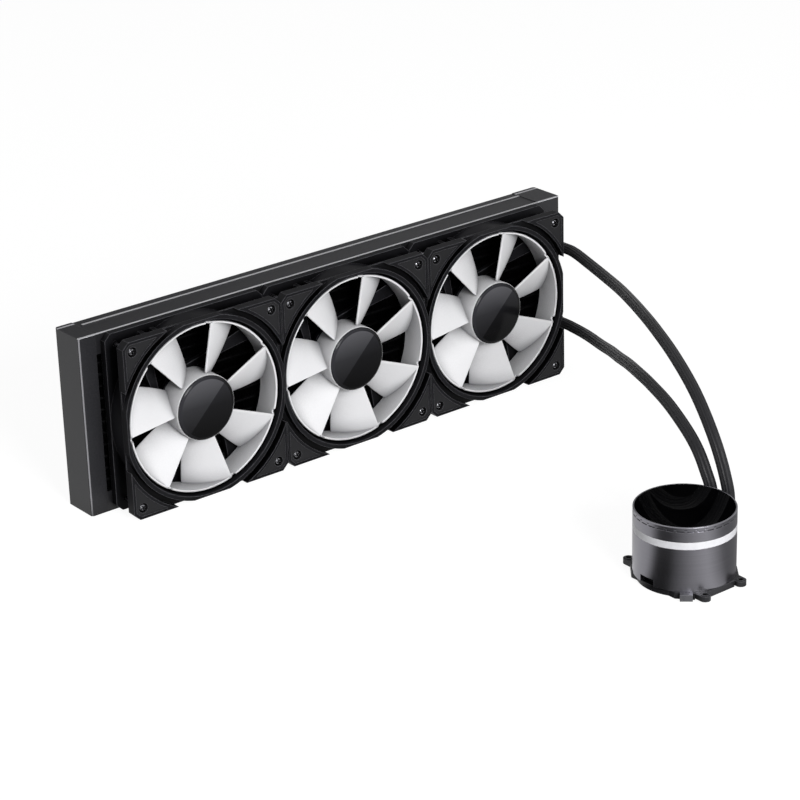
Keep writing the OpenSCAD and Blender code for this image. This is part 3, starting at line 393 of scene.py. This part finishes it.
def braided_sleeve():
    # Woven polyester sleeve drawn tight over a ribbed hose: threads lie along it and catch the light. U
    # runs round it once, V along it in metres. The threads are 0.8 mm wide and cross over every 8 mm,
    # coarser than real ones so that they show
    m, tree = surface("braided_sleeve", Specular_IOR_Level=0.22, Sheen_Weight=0.06, Sheen_Roughness=0.4)
    uv = add_node(tree, "UVMap", {"uv_map": "sleeve"})
    place = add_node(tree, "Mapping", values={"Scale": (28.0, 125.0, 1.0)},
                     links={"Vector": uv.outputs["UV"]})
    threads = add_node(tree, "TexChecker", {}, {"Scale": 1.0}, {"Vector": place.outputs["Vector"]})
    fray = add_node(tree, "TexNoise", values={"Scale": 1.0, "Detail": 3.0},
                    links={"Vector": place.outputs["Vector"]})
    both = add_node(tree, "Math", {"operation": "MULTIPLY_ADD"}, {1: 0.35},
                    {0: threads.outputs["Fac"], 2: fray.outputs["Fac"]})
    shade = add_node(tree, "ValToRGB", links={"Fac": both.outputs["Value"]},
                     stops=[(0.3, "#18181a"), (0.95, "#1f1f22")])
    rough = add_node(tree, "MapRange", values={"To Min": 0.38, "To Max": 0.6},
                     links={"Value": both.outputs["Value"]})
    bump = add_node(tree, "Bump", values={"Strength": 0.5, "Distance": 0.00006},
                    links={"Height": both.outputs["Value"]})
    return wire(m, shade.outputs["Color"], rough.outputs["Result"], bump.outputs["Normal"])


# Finish of each material slot in the record
FINISH = {
    "painted_metal": powder_coated_steel(),
    "black_aluminium": black_coated_aluminium(),
    "frame_plastic": moulded_frame_plastic(),
    "white_plastic": white_blade_plastic(),
    "gloss_cap": black_cap_painted_reflection(),
    "rubber": rubber_pad(),
    "black_steel": blackened_screw_steel(),
    "steel": turned_steel(),
    "fitting_metal": satin_fitting(),
    "bracket_metal": bracket_steel(),
    "body_metal": anodised_gunmetal(),
    "light_diffuser": milky_diffuser(),
    "black_glass": black_glass(),
    "dark_plastic": moulded_fitting(),
    "circuit_board": circuit_board(),
    "copper": machined_copper(),
    "copper_winding": lacquered_winding(),
    "bronze": sintered_bronze(),
    "hose_sleeve": braided_sleeve(),
}
LIT_TANK_COAT = lit_tank_coat()
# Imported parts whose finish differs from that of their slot
NODE_FINISH = {"tank_plain": LIT_TANK_COAT, "tank_port": LIT_TANK_COAT, "port_upper": FINISH["dark_plastic"],
               "port_lower": FINISH["dark_plastic"], "ear_bushings": FINISH["bracket_metal"]}


def plain_sight(tree):
    """1 for rays from the camera, off a mirror or through glass."""
    paths = add_node(tree, "LightPath")
    either = add_node(tree, "Math", {"operation": "MAXIMUM"}, {},
                      {0: paths.outputs["Is Glossy Ray"], 1: paths.outputs["Is Transmission Ray"]})
    return add_node(tree, "Math", {"operation": "MAXIMUM"}, {},
                    {0: paths.outputs["Is Camera Ray"], 1: either.outputs["Value"]}).outputs["Value"]


def deselect():
    """Goes back to object mode with nothing selected."""
    if bpy.context.object and bpy.context.object.mode != "OBJECT":
        bpy.ops.object.mode_set(mode="OBJECT")
    bpy.ops.object.select_all(action="DESELECT")


def only(obj):
    """Selects one object alone and makes it active."""
    deselect()
    obj.select_set(True)
    bpy.context.view_layer.objects.active = obj


def apply_all(obj):
    """Turns an object's modifiers into mesh, in their order."""
    only(obj)
    for modifier in list(obj.modifiers):
        bpy.ops.object.modifier_apply(modifier=modifier.name)


def settle(obj, name, slot_name, body, replaced=(), smooth=35.0):
    """Puts a finished mesh in the frame: place in the mesh, finish, name, body and replaced nodes.
    Edges sharper than smooth, in degrees, stay crisp."""
    only(obj)
    bpy.ops.object.transform_apply(location=True, rotation=True, scale=True)
    bpy.ops.object.shade_smooth_by_angle(angle=math.radians(smooth))
    obj.name = name
    obj.data.name = name
    obj.data.materials.clear()
    obj.data.materials.append(FINISH[slot_name])
    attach(obj, body)
    if replaced:
        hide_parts(*replaced)


# Radius that stands for the axis of a lathe piece
NEAR_AXIS = 1e-5


def turned(profile, segments, centre=(0, 0, 0)):
    """A lathe piece about Z. The profile is a list of (radius, height) in metres, from the axis or round
    to its start: a circle is added at its first point, then extruded and scaled from point to point."""
    cx, cy, cz = centre
    deselect()
    radius, height = max(profile[0][0], NEAR_AXIS), profile[0][1]
    bpy.ops.mesh.primitive_circle_add(vertices=segments, radius=radius, fill_type="NOTHING",
                                      location=(cx, cy, cz + height))
    obj = bpy.context.object
    bpy.ops.object.mode_set(mode="EDIT")
    bpy.ops.mesh.select_all(action="SELECT")
    for r, z in profile[1:]:
        r = max(r, NEAR_AXIS)
        bpy.ops.mesh.extrude_edges_move(TRANSFORM_OT_translate={"value": (0, 0, z - height)})
        if abs(r / radius - 1) > 1e-9:
            bpy.ops.transform.resize(value=(r / radius, r / radius, 1), center_override=(cx, cy, cz + z))
        radius, height = r, z
    bpy.ops.mesh.select_all(action="SELECT")
    bpy.ops.mesh.remove_doubles(threshold=2e-6)
    bpy.ops.mesh.normals_make_consistent(inside=False)
    bpy.ops.object.mode_set(mode="OBJECT")
    bpy.ops.object.transform_apply(location=True, rotation=True, scale=True)
    return obj


def join(objects):
    """Makes one object of several."""
    deselect()
    for o in objects:
        o.select_set(True)
    bpy.context.view_layer.objects.active = objects[0]
    bpy.ops.object.join()
    return bpy.context.object


def copy_of(obj):
    """A copy with a mesh of its own."""
    only(obj)
    bpy.ops.object.duplicate(linked=False)
    return bpy.context.object


def face_front(obj):
    """Turns a lathe piece about Z so that its top looks to the front, along -Y."""
    obj.rotation_euler = (math.radians(90), 0, 0)
    only(obj)
    bpy.ops.object.transform_apply(rotation=True)


def put_on_rotors(first, name, slot_name, node):
    """Copies a piece to the three fans, where it turns with the rotor."""
    for piece, side in zip([first] + [copy_of(first) for _ in SIDES[1:]], SIDES):
        piece.location = (FAN_AXIS[side].x, FAN_FRONT, FAN_AXIS[side].z)
        settle(piece, name + side, slot_name, f"rotor_{side}_body", [node + side], 40)


class HoseSizes(bpy.types.PropertyGroup):
    diameter: FloatProperty(name="Diameter", description="Outer diameter of both hoses", default=0.0075,
                            unit="LENGTH")
    ribs: IntProperty(name="Ribs", description="Longitudinal ribs of the sleeve", default=14, min=6, max=40)
    rib_depth: FloatProperty(name="Rib depth", description="Depth between two ribs", default=0.0004,
                             unit="LENGTH")


class RotorSizes(bpy.types.PropertyGroup):
    blades: IntProperty(name="Blades", description="Number of blades of a rotor", default=7, min=3, max=11)
    hub: FloatProperty(name="Hub radius", description="Outer radius of the hub", default=0.0218,
                       unit="LENGTH")
    ring: FloatProperty(name="Ring radius", description="Outer radius of the tip ring", default=0.0565,
                        unit="LENGTH")
    ring_wall: FloatProperty(name="Ring wall", description="Wall of the tip ring", default=0.0014,
                             unit="LENGTH")
    cap_rim: FloatProperty(name="Cap rim", description="Width of the hub's rim round the cap",
                           default=0.0005, unit="LENGTH")
    lead: FloatProperty(name="Leading angle", description="Angle of the first leading edge",
                        default=math.radians(82), subtype="ANGLE")


class StageLook(bpy.types.PropertyGroup):
    floor: FloatVectorProperty(name="Floor", description="Colour of the floor",
                               default=linear("#b3b3b3")[:3], subtype="COLOR", size=3)
    key: FloatProperty(name="Key light", description="Power of the large lamp in front", default=49.0,
                       unit="POWER")
    top: FloatProperty(name="Top light", description="Power of the lamp over the radiator", default=4.0,
                       unit="POWER")
    side: FloatProperty(name="Side light", description="Power of the lamp at the left", default=0.6,
                        unit="POWER")
    world: FloatProperty(name="Room light", description="Strength of the even light from all sides",
                         default=0.14)


class COOLER_OT_camera(bpy.types.Operator):
    """Places the camera where the photograph was taken"""

    bl_idname = "cooler.camera"
    bl_label = "Camera"

    def execute(self, context):
        azimuth, elevation, roll = 0.663643, 0.402444, -0.030679
        frame_width, focal_length = 800, 2713.5  # both in pixels
        forward = Vector((math.sin(azimuth) * math.cos(elevation),
                          math.cos(azimuth) * math.cos(elevation), -math.sin(elevation)))
        level = Vector((math.cos(azimuth), -math.sin(azimuth), 0))
        rise = level.cross(forward)
        right = math.cos(roll) * level + math.sin(roll) * rise
        up = -math.sin(roll) * level + math.cos(roll) * rise
        deselect()
        bpy.ops.object.camera_add()
        camera = bpy.context.object
        camera.name = "photo_camera"
        turn = Matrix((right, up, -forward)).transposed().to_4x4()
        # measured from the axis of the middle fan and the front of the fans
        camera.matrix_world = Matrix.Translation((FAN_AXIS["mid"].x - 0.990711, FAN_FRONT - 1.309309,
                                                  0.729284)) @ turn
        camera.data.sensor_width = 36.0
        camera.data.lens = focal_length / frame_width * camera.data.sensor_width
        camera.data.clip_start, camera.data.clip_end = 0.05, 50
        context.scene.camera = camera
        return {"FINISHED"}


# Routes of the hoses from the radiator's ports to the pump's elbows, in millimetres, as in part.scad
UPPER_ROUTE = [
    (187.5, 153.5, 88), (187.5, 144.5, 88), (186.5, 131, 88), (180.5, 109, 87), (166.5, 75.5, 89),
    (149, 44.5, 94.5), (129.5, 14, 101), (110.5, -16, 106.5), (92.5, -47.5, 109), (77.5, -80.5, 104.5),
    (67.5, -109, 92), (61, -131, 73), (59.5, -142.5, 52.5), (60, -146, 34.5), (60, -146, 26),
]
LOWER_ROUTE = [
    (187.5, 153.5, 32), (187.5, 144.5, 32), (186.5, 131, 32), (180.5, 111, 34), (165.5, 80.5, 40),
    (148.5, 52.5, 48.5), (130, 25, 57.5), (112, -2.5, 66.5), (94, -30, 74.5), (77.5, -60, 79.5),
    (65.5, -90, 77.5), (58.5, -116.5, 66), (56.5, -129.5, 51), (57.5, -134, 34.5), (57.5, -134, 26),
]
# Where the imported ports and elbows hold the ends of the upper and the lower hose
ENDS = (((187.5, 153.1, 88), (59.93, -146.38, 26)), ((187.5, 153.1, 32), (57.43, -134.64, 26)))


def smooth_run(route, ends, steps=8):
    """The route moved to its two ends and drawn as one smooth line, in metres. Its first and last
    stretch stay straight, and the line leaves them with a pull of straight times their length."""
    n, straight = len(route) - 1, 2.5
    p = []
    for i, q in enumerate(route):
        w = min(max((i - 1) / (n - 2), 0), 1)
        p.append((Vector(q) + (1 - w) * (Vector(ends[0]) - Vector(route[0])) + w
                  * (Vector(ends[1]) - Vector(route[n]))) * MM)

    def pull(i):
        if i == 1:
            return straight * (p[1] - p[0])
        if i == n - 1:
            return straight * (p[n] - p[n - 1])
        return (p[i + 1] - p[i - 1]) / 2

    line = [p[0]]
    for i in range(1, n - 1):
        for k in range(steps):
            t = k / steps
            line.append((2 * t**3 - 3 * t * t + 1) * p[i] + (t**3 - 2 * t * t + t) * pull(i)
                        + (3 * t * t - 2 * t**3) * p[i + 1] + (t**3 - t * t) * pull(i + 1))
    return line + [p[n - 1], p[n]]


class COOLER_OT_hoses(bpy.types.Operator):
    """Sweeps the two ribbed, sleeved hoses along their routes"""

    bl_idname = "cooler.hoses"
    bl_label = "Hoses"

    def execute(self, context):
        sizes = context.scene.cooler_hose
        for name, route, ends in (("hose_upper", UPPER_ROUTE, ENDS[0]), ("hose_lower", LOWER_ROUTE, ENDS[1])):
            line = smooth_run(route, ends)
            # four corners to a rib
            round_n = sizes.ribs * 4
            mesh = bpy.data.meshes.new(name)
            bm = bmesh.new()
            uv = bm.loops.layers.uv.new("sleeve")
            side = Vector((1, 0, 0))
            rings, along = [], [0.0]
            for i, p in enumerate(line):
                ahead = (line[min(i + 1, len(line) - 1)] - line[max(i - 1, 0)]).normalized()
                side = (side - ahead * side.dot(ahead)).normalized()
                other = ahead.cross(side)
                if i:
                    along.append(along[-1] + (p - line[i - 1]).length)
                ring = []
                for k in range(round_n):
                    a = 2 * math.pi * k / round_n
                    r = sizes.diameter / 2 - sizes.rib_depth * (0.5 - 0.5 * math.cos(sizes.ribs * a))
                    ring.append(bm.verts.new(p + r * (math.cos(a) * side + math.sin(a) * other)))
                rings.append(ring)
            for i in range(len(rings) - 1):
                for k in range(round_n):
                    n = (k + 1) % round_n
                    face = bm.faces.new((rings[i][k], rings[i][n], rings[i + 1][n], rings[i + 1][k]))
                    for loop, (u, v) in zip(face.loops, ((k, i), (k + 1, i), (k + 1, i + 1), (k, i + 1))):
                        loop[uv].uv = (u / round_n, along[v])
            bm.faces.new(list(reversed(rings[0])))
            bm.faces.new(rings[-1])
            bmesh.ops.recalc_face_normals(bm, faces=bm.faces)
            bm.to_mesh(mesh)
            bm.free()
            hose = bpy.data.objects.new(name + "_sleeve", mesh)
            context.scene.collection.objects.link(hose)
            settle(hose, name + "_sleeve", "hose_sleeve", ROOT, [name], 50)
        return {"FINISHED"}


def blade_spot(sizes, r, s):
    """A point in the middle of a blade's wall at radius r, s from 0 at its leading to 1 at its trailing
    edge: its turn from the leading edge and its depth behind the fan's front."""
    hub, tip = sizes.hub, sizes.ring - sizes.ring_wall
    t = (r - hub) / (tip - hub)
    sweep = math.radians(37 - 7 * t)
    lead, trail = (5.5 - 2.3 * t) * MM, 18.9 * MM
    depth = lead + (trail - lead) * (s - 0.3 * s * (1 - s))
    return -sweep * s, depth


class COOLER_OT_rotors(bpy.types.Operator):
    """Lofts seven blades between hub and tip ring, and copies the rotor to the three fans"""

    bl_idname = "cooler.rotors"
    bl_label = "Rotors"

    def execute(self, context):
        sizes = context.scene.cooler_rotor
        hub, ring, wall = sizes.hub, sizes.ring, sizes.ring_wall
        front, back = 3.1 * MM, 20.5 * MM
        # hub: rounded front rim, recess for the cap, skirt open to the back. Heights run against the depth
        cap_r = hub - sizes.cap_rim
        hub_part = turned([(0, -2.8 * MM), (cap_r + 0.05 * MM, -2.8 * MM),
                           (cap_r + 0.05 * MM, -2.3 * MM), (cap_r + 0.2 * MM, -2.15 * MM),
                           (hub - 0.25 * MM, -2.2 * MM), (hub - 0.05 * MM, -2.5 * MM), (hub, -2.9 * MM),
                           (hub, -back), (hub - 1.5 * MM, -back), (hub - 1.5 * MM, -4.3 * MM),
                           (0, -4.3 * MM)], 128)
        parts = [hub_part]
        inner, segments = ring - wall, 336
        notch_r, bury, blade_wall = 1.6 * MM, 0.7 * MM, 1.5 * MM
        rim = turned([(inner, -front - 0.3 * MM), (inner + 0.35 * MM, -front),
                      (ring - 0.35 * MM, -front), (ring, -front - 0.3 * MM), (ring, -back + 0.3 * MM),
                      (ring - 0.3 * MM, -back), (inner + 0.3 * MM, -back), (inner, -back + 0.3 * MM),
                      (inner, -front - 0.3 * MM)], segments)
        # a rounded notch dips into the front rim where each leading edge meets the ring
        for v in rim.data.vertices:
            if v.co.z > -5 * MM:
                angle = math.atan2(v.co.y, v.co.x)
                for k in range(sizes.blades):
                    notch = sizes.lead - 2 * math.pi * k / sizes.blades + math.radians(2)
                    gap = abs((angle - notch + math.pi) % (2 * math.pi) - math.pi) * ring
                    if gap < notch_r:
                        v.co.z -= math.sqrt(notch_r**2 - gap * gap)
        parts.append(rim)
        # blades run a little into hub and ring
        for k in range(sizes.blades):
            deselect()
            bpy.ops.mesh.primitive_grid_add(x_subdivisions=18, y_subdivisions=16, size=1)
            blade = bpy.context.object
            lead = sizes.lead - 2 * math.pi * k / sizes.blades
            for v in blade.data.vertices:
                s, t = v.co.x + 0.5, v.co.y + 0.5
                r = (hub - bury) + (inner + bury - hub + bury) * t
                turn, depth = blade_spot(sizes, r, s)
                v.co = (r * math.cos(lead + turn), r * math.sin(lead + turn), -depth)
            blade.modifiers.new("wall", "SOLIDIFY").thickness = blade_wall
            blade.modifiers["wall"].offset = 0.0
            edge = blade.modifiers.new("edge", "BEVEL")
            edge.width, edge.segments, edge.limit_method = 0.5 * MM, 3, "ANGLE"
            apply_all(blade)
            parts.append(blade)
        rotor = join(parts)
        face_front(rotor)
        put_on_rotors(rotor, "blades_", "white_plastic", "rotor_")
        # polished cap: a flat face inside a broad bevel
        cap = turned([(0, -1.0 * MM), (cap_r - 1.9 * MM, -1.0 * MM), (cap_r - 1.7 * MM, -1.04 * MM),
                      (cap_r - 0.3 * MM, -1.75 * MM), (cap_r, -2.1 * MM), (cap_r, -2.78 * MM),
                      (0, -2.78 * MM)], 128)
        face_front(cap)
        face = cap.data.uv_layers.new(name="face")
        for loop in cap.data.loops:
            spot = cap.data.vertices[loop.vertex_index].co
            face.data[loop.index].uv = (spot.x / (2 * cap_r) + 0.5, spot.z / (2 * cap_r) + 0.5)
        put_on_rotors(cap, "cap_", "gloss_cap", "hub_cap_")
        return {"FINISHED"}


class COOLER_OT_fins(bpy.types.Operator):
    """Folds the fine fin strips between the flat tubes"""

    bl_idname = "cooler.fins"
    bl_label = "Fins"

    def execute(self, context):
        low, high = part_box("fins")
        strips = []
        rows, tube, pitch = 12, 2 * MM, 2.4 * MM
        height = (high.z - low.z - (rows - 1) * tube) / rows
        x0, x1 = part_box("tank_plain")[1].x + 0.3 * MM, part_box("tank_port")[0].x - 0.3 * MM
        waves = int((x1 - x0) / pitch)
        for row in range(rows):
            z0 = low.z + row * (height + tube)
            deselect()
            bpy.ops.mesh.primitive_grid_add(x_subdivisions=4 * waves, y_subdivisions=2, size=1)
            strip = bpy.context.object
            for v in strip.data.vertices:
                # a wave has two corners on the tube below and two on the tube above, with leaning walls
                n = round((v.co.x + 0.5) * 4 * waves)
                x = x0 + (x1 - x0) * n / (4 * waves) + (0.2 * MM if n % 2 else -0.2 * MM)
                z = z0 + 0.1 * MM if n % 4 in (0, 3) else z0 + height - 0.1 * MM
                v.co = (min(max(x, x0), x1), low.y + (high.y - low.y) * (v.co.y + 0.5), z)
            strip.modifiers.new("sheet", "SOLIDIFY").thickness = 0.15 * MM
            strip.modifiers["sheet"].offset = 0.0
            apply_all(strip)
            strips.append(strip)
        settle(join(strips), "fin_strips", "black_aluminium", ROOT, ["fins"], 20)
        return {"FINISHED"}


class COOLER_OT_finish(bpy.types.Operator):
    """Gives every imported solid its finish"""

    bl_idname = "cooler.finish"
    bl_label = "Finish of the packed parts"

    def execute(self, context):
        slots = {p["node"]: p["material_slot"] for p in frame["record"]["subparts"]}
        for name, obj in frame["nodes"].items():
            obj.data.materials.clear()
            obj.data.materials.append(NODE_FINISH.get(name) or FINISH[slots[name]])
        return {"FINISHED"}


class COOLER_OT_edges(bpy.types.Operator):
    """Rolls the front edge of the radiator's upper side plate up into a flat bead, level with the tanks"""

    bl_idname = "cooler.edges"
    bl_label = "Rolled edge"

    def execute(self, context):
        width, plate_top = 1.6 * MM, RAD_HIGH.z - 0.4 * MM
        deselect()
        middle = ((CORE_LOW.x + CORE_HIGH.x) / 2, CORE_LOW.y + width / 2, (plate_top + RAD_HIGH.z) / 2)
        bpy.ops.mesh.primitive_cube_add(size=1, location=middle)
        edge = bpy.context.object
        edge.scale = (CORE_HIGH.x - CORE_LOW.x, width, RAD_HIGH.z - plate_top)
        bpy.ops.object.transform_apply(location=True, rotation=True, scale=True)
        rounding = edge.modifiers.new("rounding", "BEVEL")
        rounding.width, rounding.segments, rounding.limit_method = 0.12 * MM, 2, "ANGLE"
        rounding.angle_limit = math.radians(40)
        apply_all(edge)
        # the bead is pale because of the powder coat's painted highlight on ridges
        settle(edge, "rolled_edge", "painted_metal", ROOT, smooth=40)
        return {"FINISHED"}


class COOLER_OT_screws(bpy.types.Operator):
    """Turns one domed screw, cuts its cross recess and copies it to the corners of the fans"""

    bl_idname = "cooler.screws"
    bl_label = "Fan screws"

    def execute(self, context):
        head, shank = 2.6 * MM, 1.5 * MM
        seat, tip = 2.6 * MM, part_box("fan_screws_mid")[1].y - FAN_FRONT
        screw = turned([(0, -0.6 * MM), (0.9 * MM, -0.66 * MM), (1.7 * MM, -0.95 * MM),
                        (2.3 * MM, -1.45 * MM), (head, -2.1 * MM), (head, -seat), (shank, -seat),
                        (shank, -tip + 0.3 * MM), (shank - 0.3 * MM, -tip), (0, -tip)], 32)
        # two arms cut the cross recess, a little turned as on a tightened screw
        arm_length, arm_width, arm_height = 3.7 * MM, 1.25 * MM, 3.0 * MM
        for turn in (0.0, math.pi / 2):
            deselect()
            bpy.ops.mesh.primitive_cube_add(size=1, location=(0, 0, -0.6 * MM), rotation=(0, 0, turn + 0.4))
            arm = bpy.context.object
            arm.scale = (arm_length, arm_width, arm_height)
            only(arm)
            bpy.ops.object.transform_apply(location=True, rotation=True, scale=True)
            cut = screw.modifiers.new("recess", "BOOLEAN")
            cut.operation, cut.object = "DIFFERENCE", arm
            apply_all(screw)
            bpy.data.objects.remove(arm)
        face_front(screw)
        # half of the screws' square
        spread = 52.5 * MM
        for side in SIDES:
            four = []
            for sx in (-spread, spread):
                for sz in (-spread, spread):
                    one = copy_of(screw)
                    one.location = (FAN_AXIS[side].x + sx, FAN_FRONT, FAN_AXIS[side].z + sz)
                    four.append(one)
            settle(join(four), "screws_" + side, "black_steel", ROOT, ["fan_screws_" + side], 30)
        bpy.data.objects.remove(screw)
        return {"FINISHED"}


class COOLER_OT_top_ring(bpy.types.Operator):
    """Turns the ring round the glass and presses its row of fine vents"""

    bl_idname = "cooler.top_ring"
    bl_label = "Pump top ring"

    def execute(self, context):
        low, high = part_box("top_ring")
        outer = (high.x - low.x) / 2
        glass = (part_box("glass_cover")[1].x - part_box("glass_cover")[0].x) / 2 + 0.05 * MM
        inner, top, floor, sectors = outer - PUMP_WALL, high.z, high.z - 4.0 * MM, 128
        # ticks lie 1.25 to 1.75 mm under the top, dashes 2.4 to 3.1 mm
        heights = [top - h * MM for h in (3.1, 2.4, 1.75, 1.25)]
        ring = turned([(inner, low.z), (outer, low.z)] + [(outer, z) for z in heights]
                      + [(outer, top - 0.25 * MM), (outer - 0.2 * MM, top), (glass, top),
                         (glass, floor), (inner, floor), (inner, low.z)], sectors, (PUMP.x, PUMP.y, 0))
        only(ring)
        bpy.ops.object.mode_set(mode="EDIT")
        mesh = bmesh.from_edit_mesh(ring.data)
        for face in mesh.faces:
            spot = face.calc_center_median() - Vector((PUMP.x, PUMP.y, 0))
            sector = int(math.degrees(math.atan2(spot.y, spot.x)) % 360 / (360 / sectors))
            dash = heights[0] < spot.z < heights[1] and sector % 4 != 0
            tick = heights[2] < spot.z < heights[3] and sector % 4 == 0
            face.select = (dash or tick) and Vector((spot.x, spot.y)).length > outer - 0.2 * MM
        bmesh.update_edit_mesh(ring.data)
        bpy.ops.mesh.extrude_region_shrink_fatten(TRANSFORM_OT_shrink_fatten={"value": -1.3 * MM})
        bpy.ops.object.mode_set(mode="OBJECT")
        settle(ring, "vented_ring", "body_metal", ROOT, ["top_ring"], 30)
        return {"FINISHED"}


class COOLER_OT_stage(bpy.types.Operator):
    """Sets the pale floor, the room light and the lamps"""

    bl_idname = "cooler.stage"
    bl_label = "Stage"

    def bare_material(self, piece, name):
        """The empty node tree of a new material on a stage piece, and its output's surface."""
        m = bpy.data.materials.new(name)
        m.use_nodes = True
        m.node_tree.nodes.clear()
        piece.data.materials.append(m)
        return m.node_tree, add_node(m.node_tree, "OutputMaterial").inputs["Surface"]

    def hang_cards(self):
        """Cards that only mirrors see: a grey one high behind, paler to the right, for the top of the
        radiator, a black one for the glass, and a shaded disc that draws the bands on the barrel."""
        # level directions: away from the camera, and to the right of its view
        view_turn = 0.6636
        ahead, level = Vector((0.616, 0.788, 0.0)), Vector((0.788, -0.616, 0.0))
        cards = []
        for name, far, right, height, width, tall in (("grey_card", 1.9, -0.2, 0.85, 2.4, 1.3),
                                                      ("black_card", 0.9, 0.2, 0.48, 0.4, 0.22)):
            deselect()
            place = ahead * far + level * right + Vector((0, 0, height))
            bpy.ops.mesh.primitive_plane_add(size=1, location=place,
                                             rotation=(math.radians(90 - 23), 0, -view_turn))
            card = bpy.context.object
            card.name = name
            card.scale = (width, tall, 1)
            cards.append(card)
        deselect()
        bpy.ops.mesh.primitive_circle_add(vertices=96, radius=0.27, fill_type="NGON",
                                          location=(PUMP.x, PUMP.y, -0.0001))
        disc = bpy.context.object
        disc.name = "shaded_disc"
        for piece in (*cards, disc):
            tree, out = self.bare_material(piece, piece.name)
            glow = add_node(tree, "Emission", values={"Color": linear("#000000"), "Strength": 1.0})
            if piece.name == "grey_card":
                coords = add_node(tree, "TexCoord")
                across = add_node(tree, "SeparateXYZ", links={"Vector": coords.outputs["Object"]})
                shade = add_node(tree, "MapRange", values={"From Min": -0.1, "From Max": 0.14,
                                                           "To Min": 0.02, "To Max": 0.42},
                                 links={"Value": across.outputs["X"]})
                tree.links.new(shade.outputs["Result"], glow.inputs["Strength"])
                glow.inputs["Color"].default_value = linear("#ffffff")
            if piece is disc:
                coords = add_node(tree, "TexCoord")
                # angle round the pump from 0 to 1, against the clock, from the disc's seam behind the pump
                place = add_node(tree, "Mapping", values={"Rotation": (0, 0, math.radians(128))},
                                 links={"Vector": coords.outputs["Object"]})
                turn = add_node(tree, "TexGradient", {"gradient_type": "RADIAL"}, {},
                                {"Vector": place.outputs["Vector"]})
                shade = add_node(tree, "ValToRGB", links={"Fac": turn.outputs["Color"]},
                                 stops=[(0.0, "#b8b8b8"), (1.0, "#909090"), (0.2, "#ffffff"),
                                        (0.29, "#f4f4f4"), (0.34, "#101010"), (0.41, "#101010"),
                                        (0.5, "#b4b4b4"), (0.6, "#ffffff"), (0.7, "#8c8c8c")])
                tree.links.new(shade.outputs["Color"], glow.inputs["Color"])
            tree.links.new(glow.outputs["Emission"], out)
            piece.visible_camera = piece.visible_diffuse = False
            piece.visible_transmission = piece.visible_shadow = False

    def execute(self, context):
        look = context.scene.cooler_stage
        deselect()
        bpy.ops.mesh.primitive_plane_add(size=16, location=(0, 0, -0.0002))
        floor = bpy.context.object
        floor.name = "floor"
        tree, out = self.bare_material(floor, "white_paper_sweep")
        # in plain sight the floor glows near white and keeps a soft shadow, and other rays meet grey paper
        paper = add_node(tree, "BsdfDiffuse", values={"Color": tuple(look.floor) + (1.0,)})
        thin = add_node(tree, "BsdfDiffuse", values={"Color": linear("#7c7c7c")})
        glow = add_node(tree, "Emission", values={"Color": linear("#ffffff"), "Strength": 0.92})
        both = add_node(tree, "AddShader")
        tree.links.new(glow.outputs["Emission"], both.inputs[0])
        tree.links.new(thin.outputs["BSDF"], both.inputs[1])
        mix = add_node(tree, "MixShader", links={"Fac": plain_sight(tree)})
        tree.links.new(paper.outputs["BSDF"], mix.inputs[1])
        tree.links.new(both.outputs["Shader"], mix.inputs[2])
        tree.links.new(mix.outputs["Shader"], out)

        # the room: white to the camera, to mirrors and through glass, an even grey to everything else
        world = bpy.data.worlds.new("white_room")
        context.scene.world = world
        world.use_nodes = True
        tree = world.node_tree
        strength = add_node(tree, "MapRange", values={"To Min": look.world, "To Max": 1.0},
                            links={"Value": plain_sight(tree)})
        back = tree.nodes["Background"]
        tree.links.new(strength.outputs["Result"], back.inputs["Strength"])
        back.inputs["Color"].default_value = linear("#ffffff")
        self.hang_cards()
        for name, place, size, power in (("key_lamp", (-0.45, -2.0, 0.85), 0.8, look.key),
                                         ("top_lamp", (0.1, 0.5, 1.8), 1.0, look.top),
                                         ("side_lamp", (-1.8, 0.1, 0.7), 0.8, look.side)):
            deselect()
            bpy.ops.object.light_add(type="AREA", location=place)
            lamp = bpy.context.object
            lamp.name = name
            lamp.data.shape, lamp.data.size, lamp.data.energy = "SQUARE", size, power
            lamp.rotation_euler = (Vector((0, 0, 0.05)) - Vector(place)).to_track_quat("-Z", "Y").to_euler()
        context.scene.view_settings.view_transform = "Standard"
        return {"FINISHED"}


class COOLER_PT_steps(bpy.types.Panel):
    """Lists the cooler's operators in their order"""

    bl_idname = "COOLER_PT_steps"
    bl_label = "Liquid cooler"
    bl_space_type = "VIEW_3D"
    bl_region_type = "UI"
    bl_category = "Cooler"

    def draw(self, context):
        for step in STEPS:
            self.layout.operator(step)


STEPS = ("cooler.camera", "cooler.hoses", "cooler.finish", "cooler.rotors", "cooler.fins",
         "cooler.edges", "cooler.screws", "cooler.top_ring", "cooler.stage")
CLASSES = (
    HoseSizes, RotorSizes, StageLook, COOLER_OT_camera, COOLER_OT_hoses, COOLER_OT_finish, COOLER_OT_rotors,
    COOLER_OT_fins, COOLER_OT_edges, COOLER_OT_screws, COOLER_OT_top_ring, COOLER_OT_stage, COOLER_PT_steps,
)


def register():
    for c in CLASSES:
        bpy.utils.register_class(c)
    bpy.types.Scene.cooler_hose = PointerProperty(type=HoseSizes)
    bpy.types.Scene.cooler_rotor = PointerProperty(type=RotorSizes)
    bpy.types.Scene.cooler_stage = PointerProperty(type=StageLook)


def unregister():
    for name in ("cooler_hose", "cooler_rotor", "cooler_stage"):
        delattr(bpy.types.Scene, name)
    for c in reversed(CLASSES):
        bpy.utils.unregister_class(c)


def main():
    register()
    for step in STEPS:
        group, name = step.split(".")
        getattr(getattr(bpy.ops, group), name)()


if __name__ == "__main__":
    main()
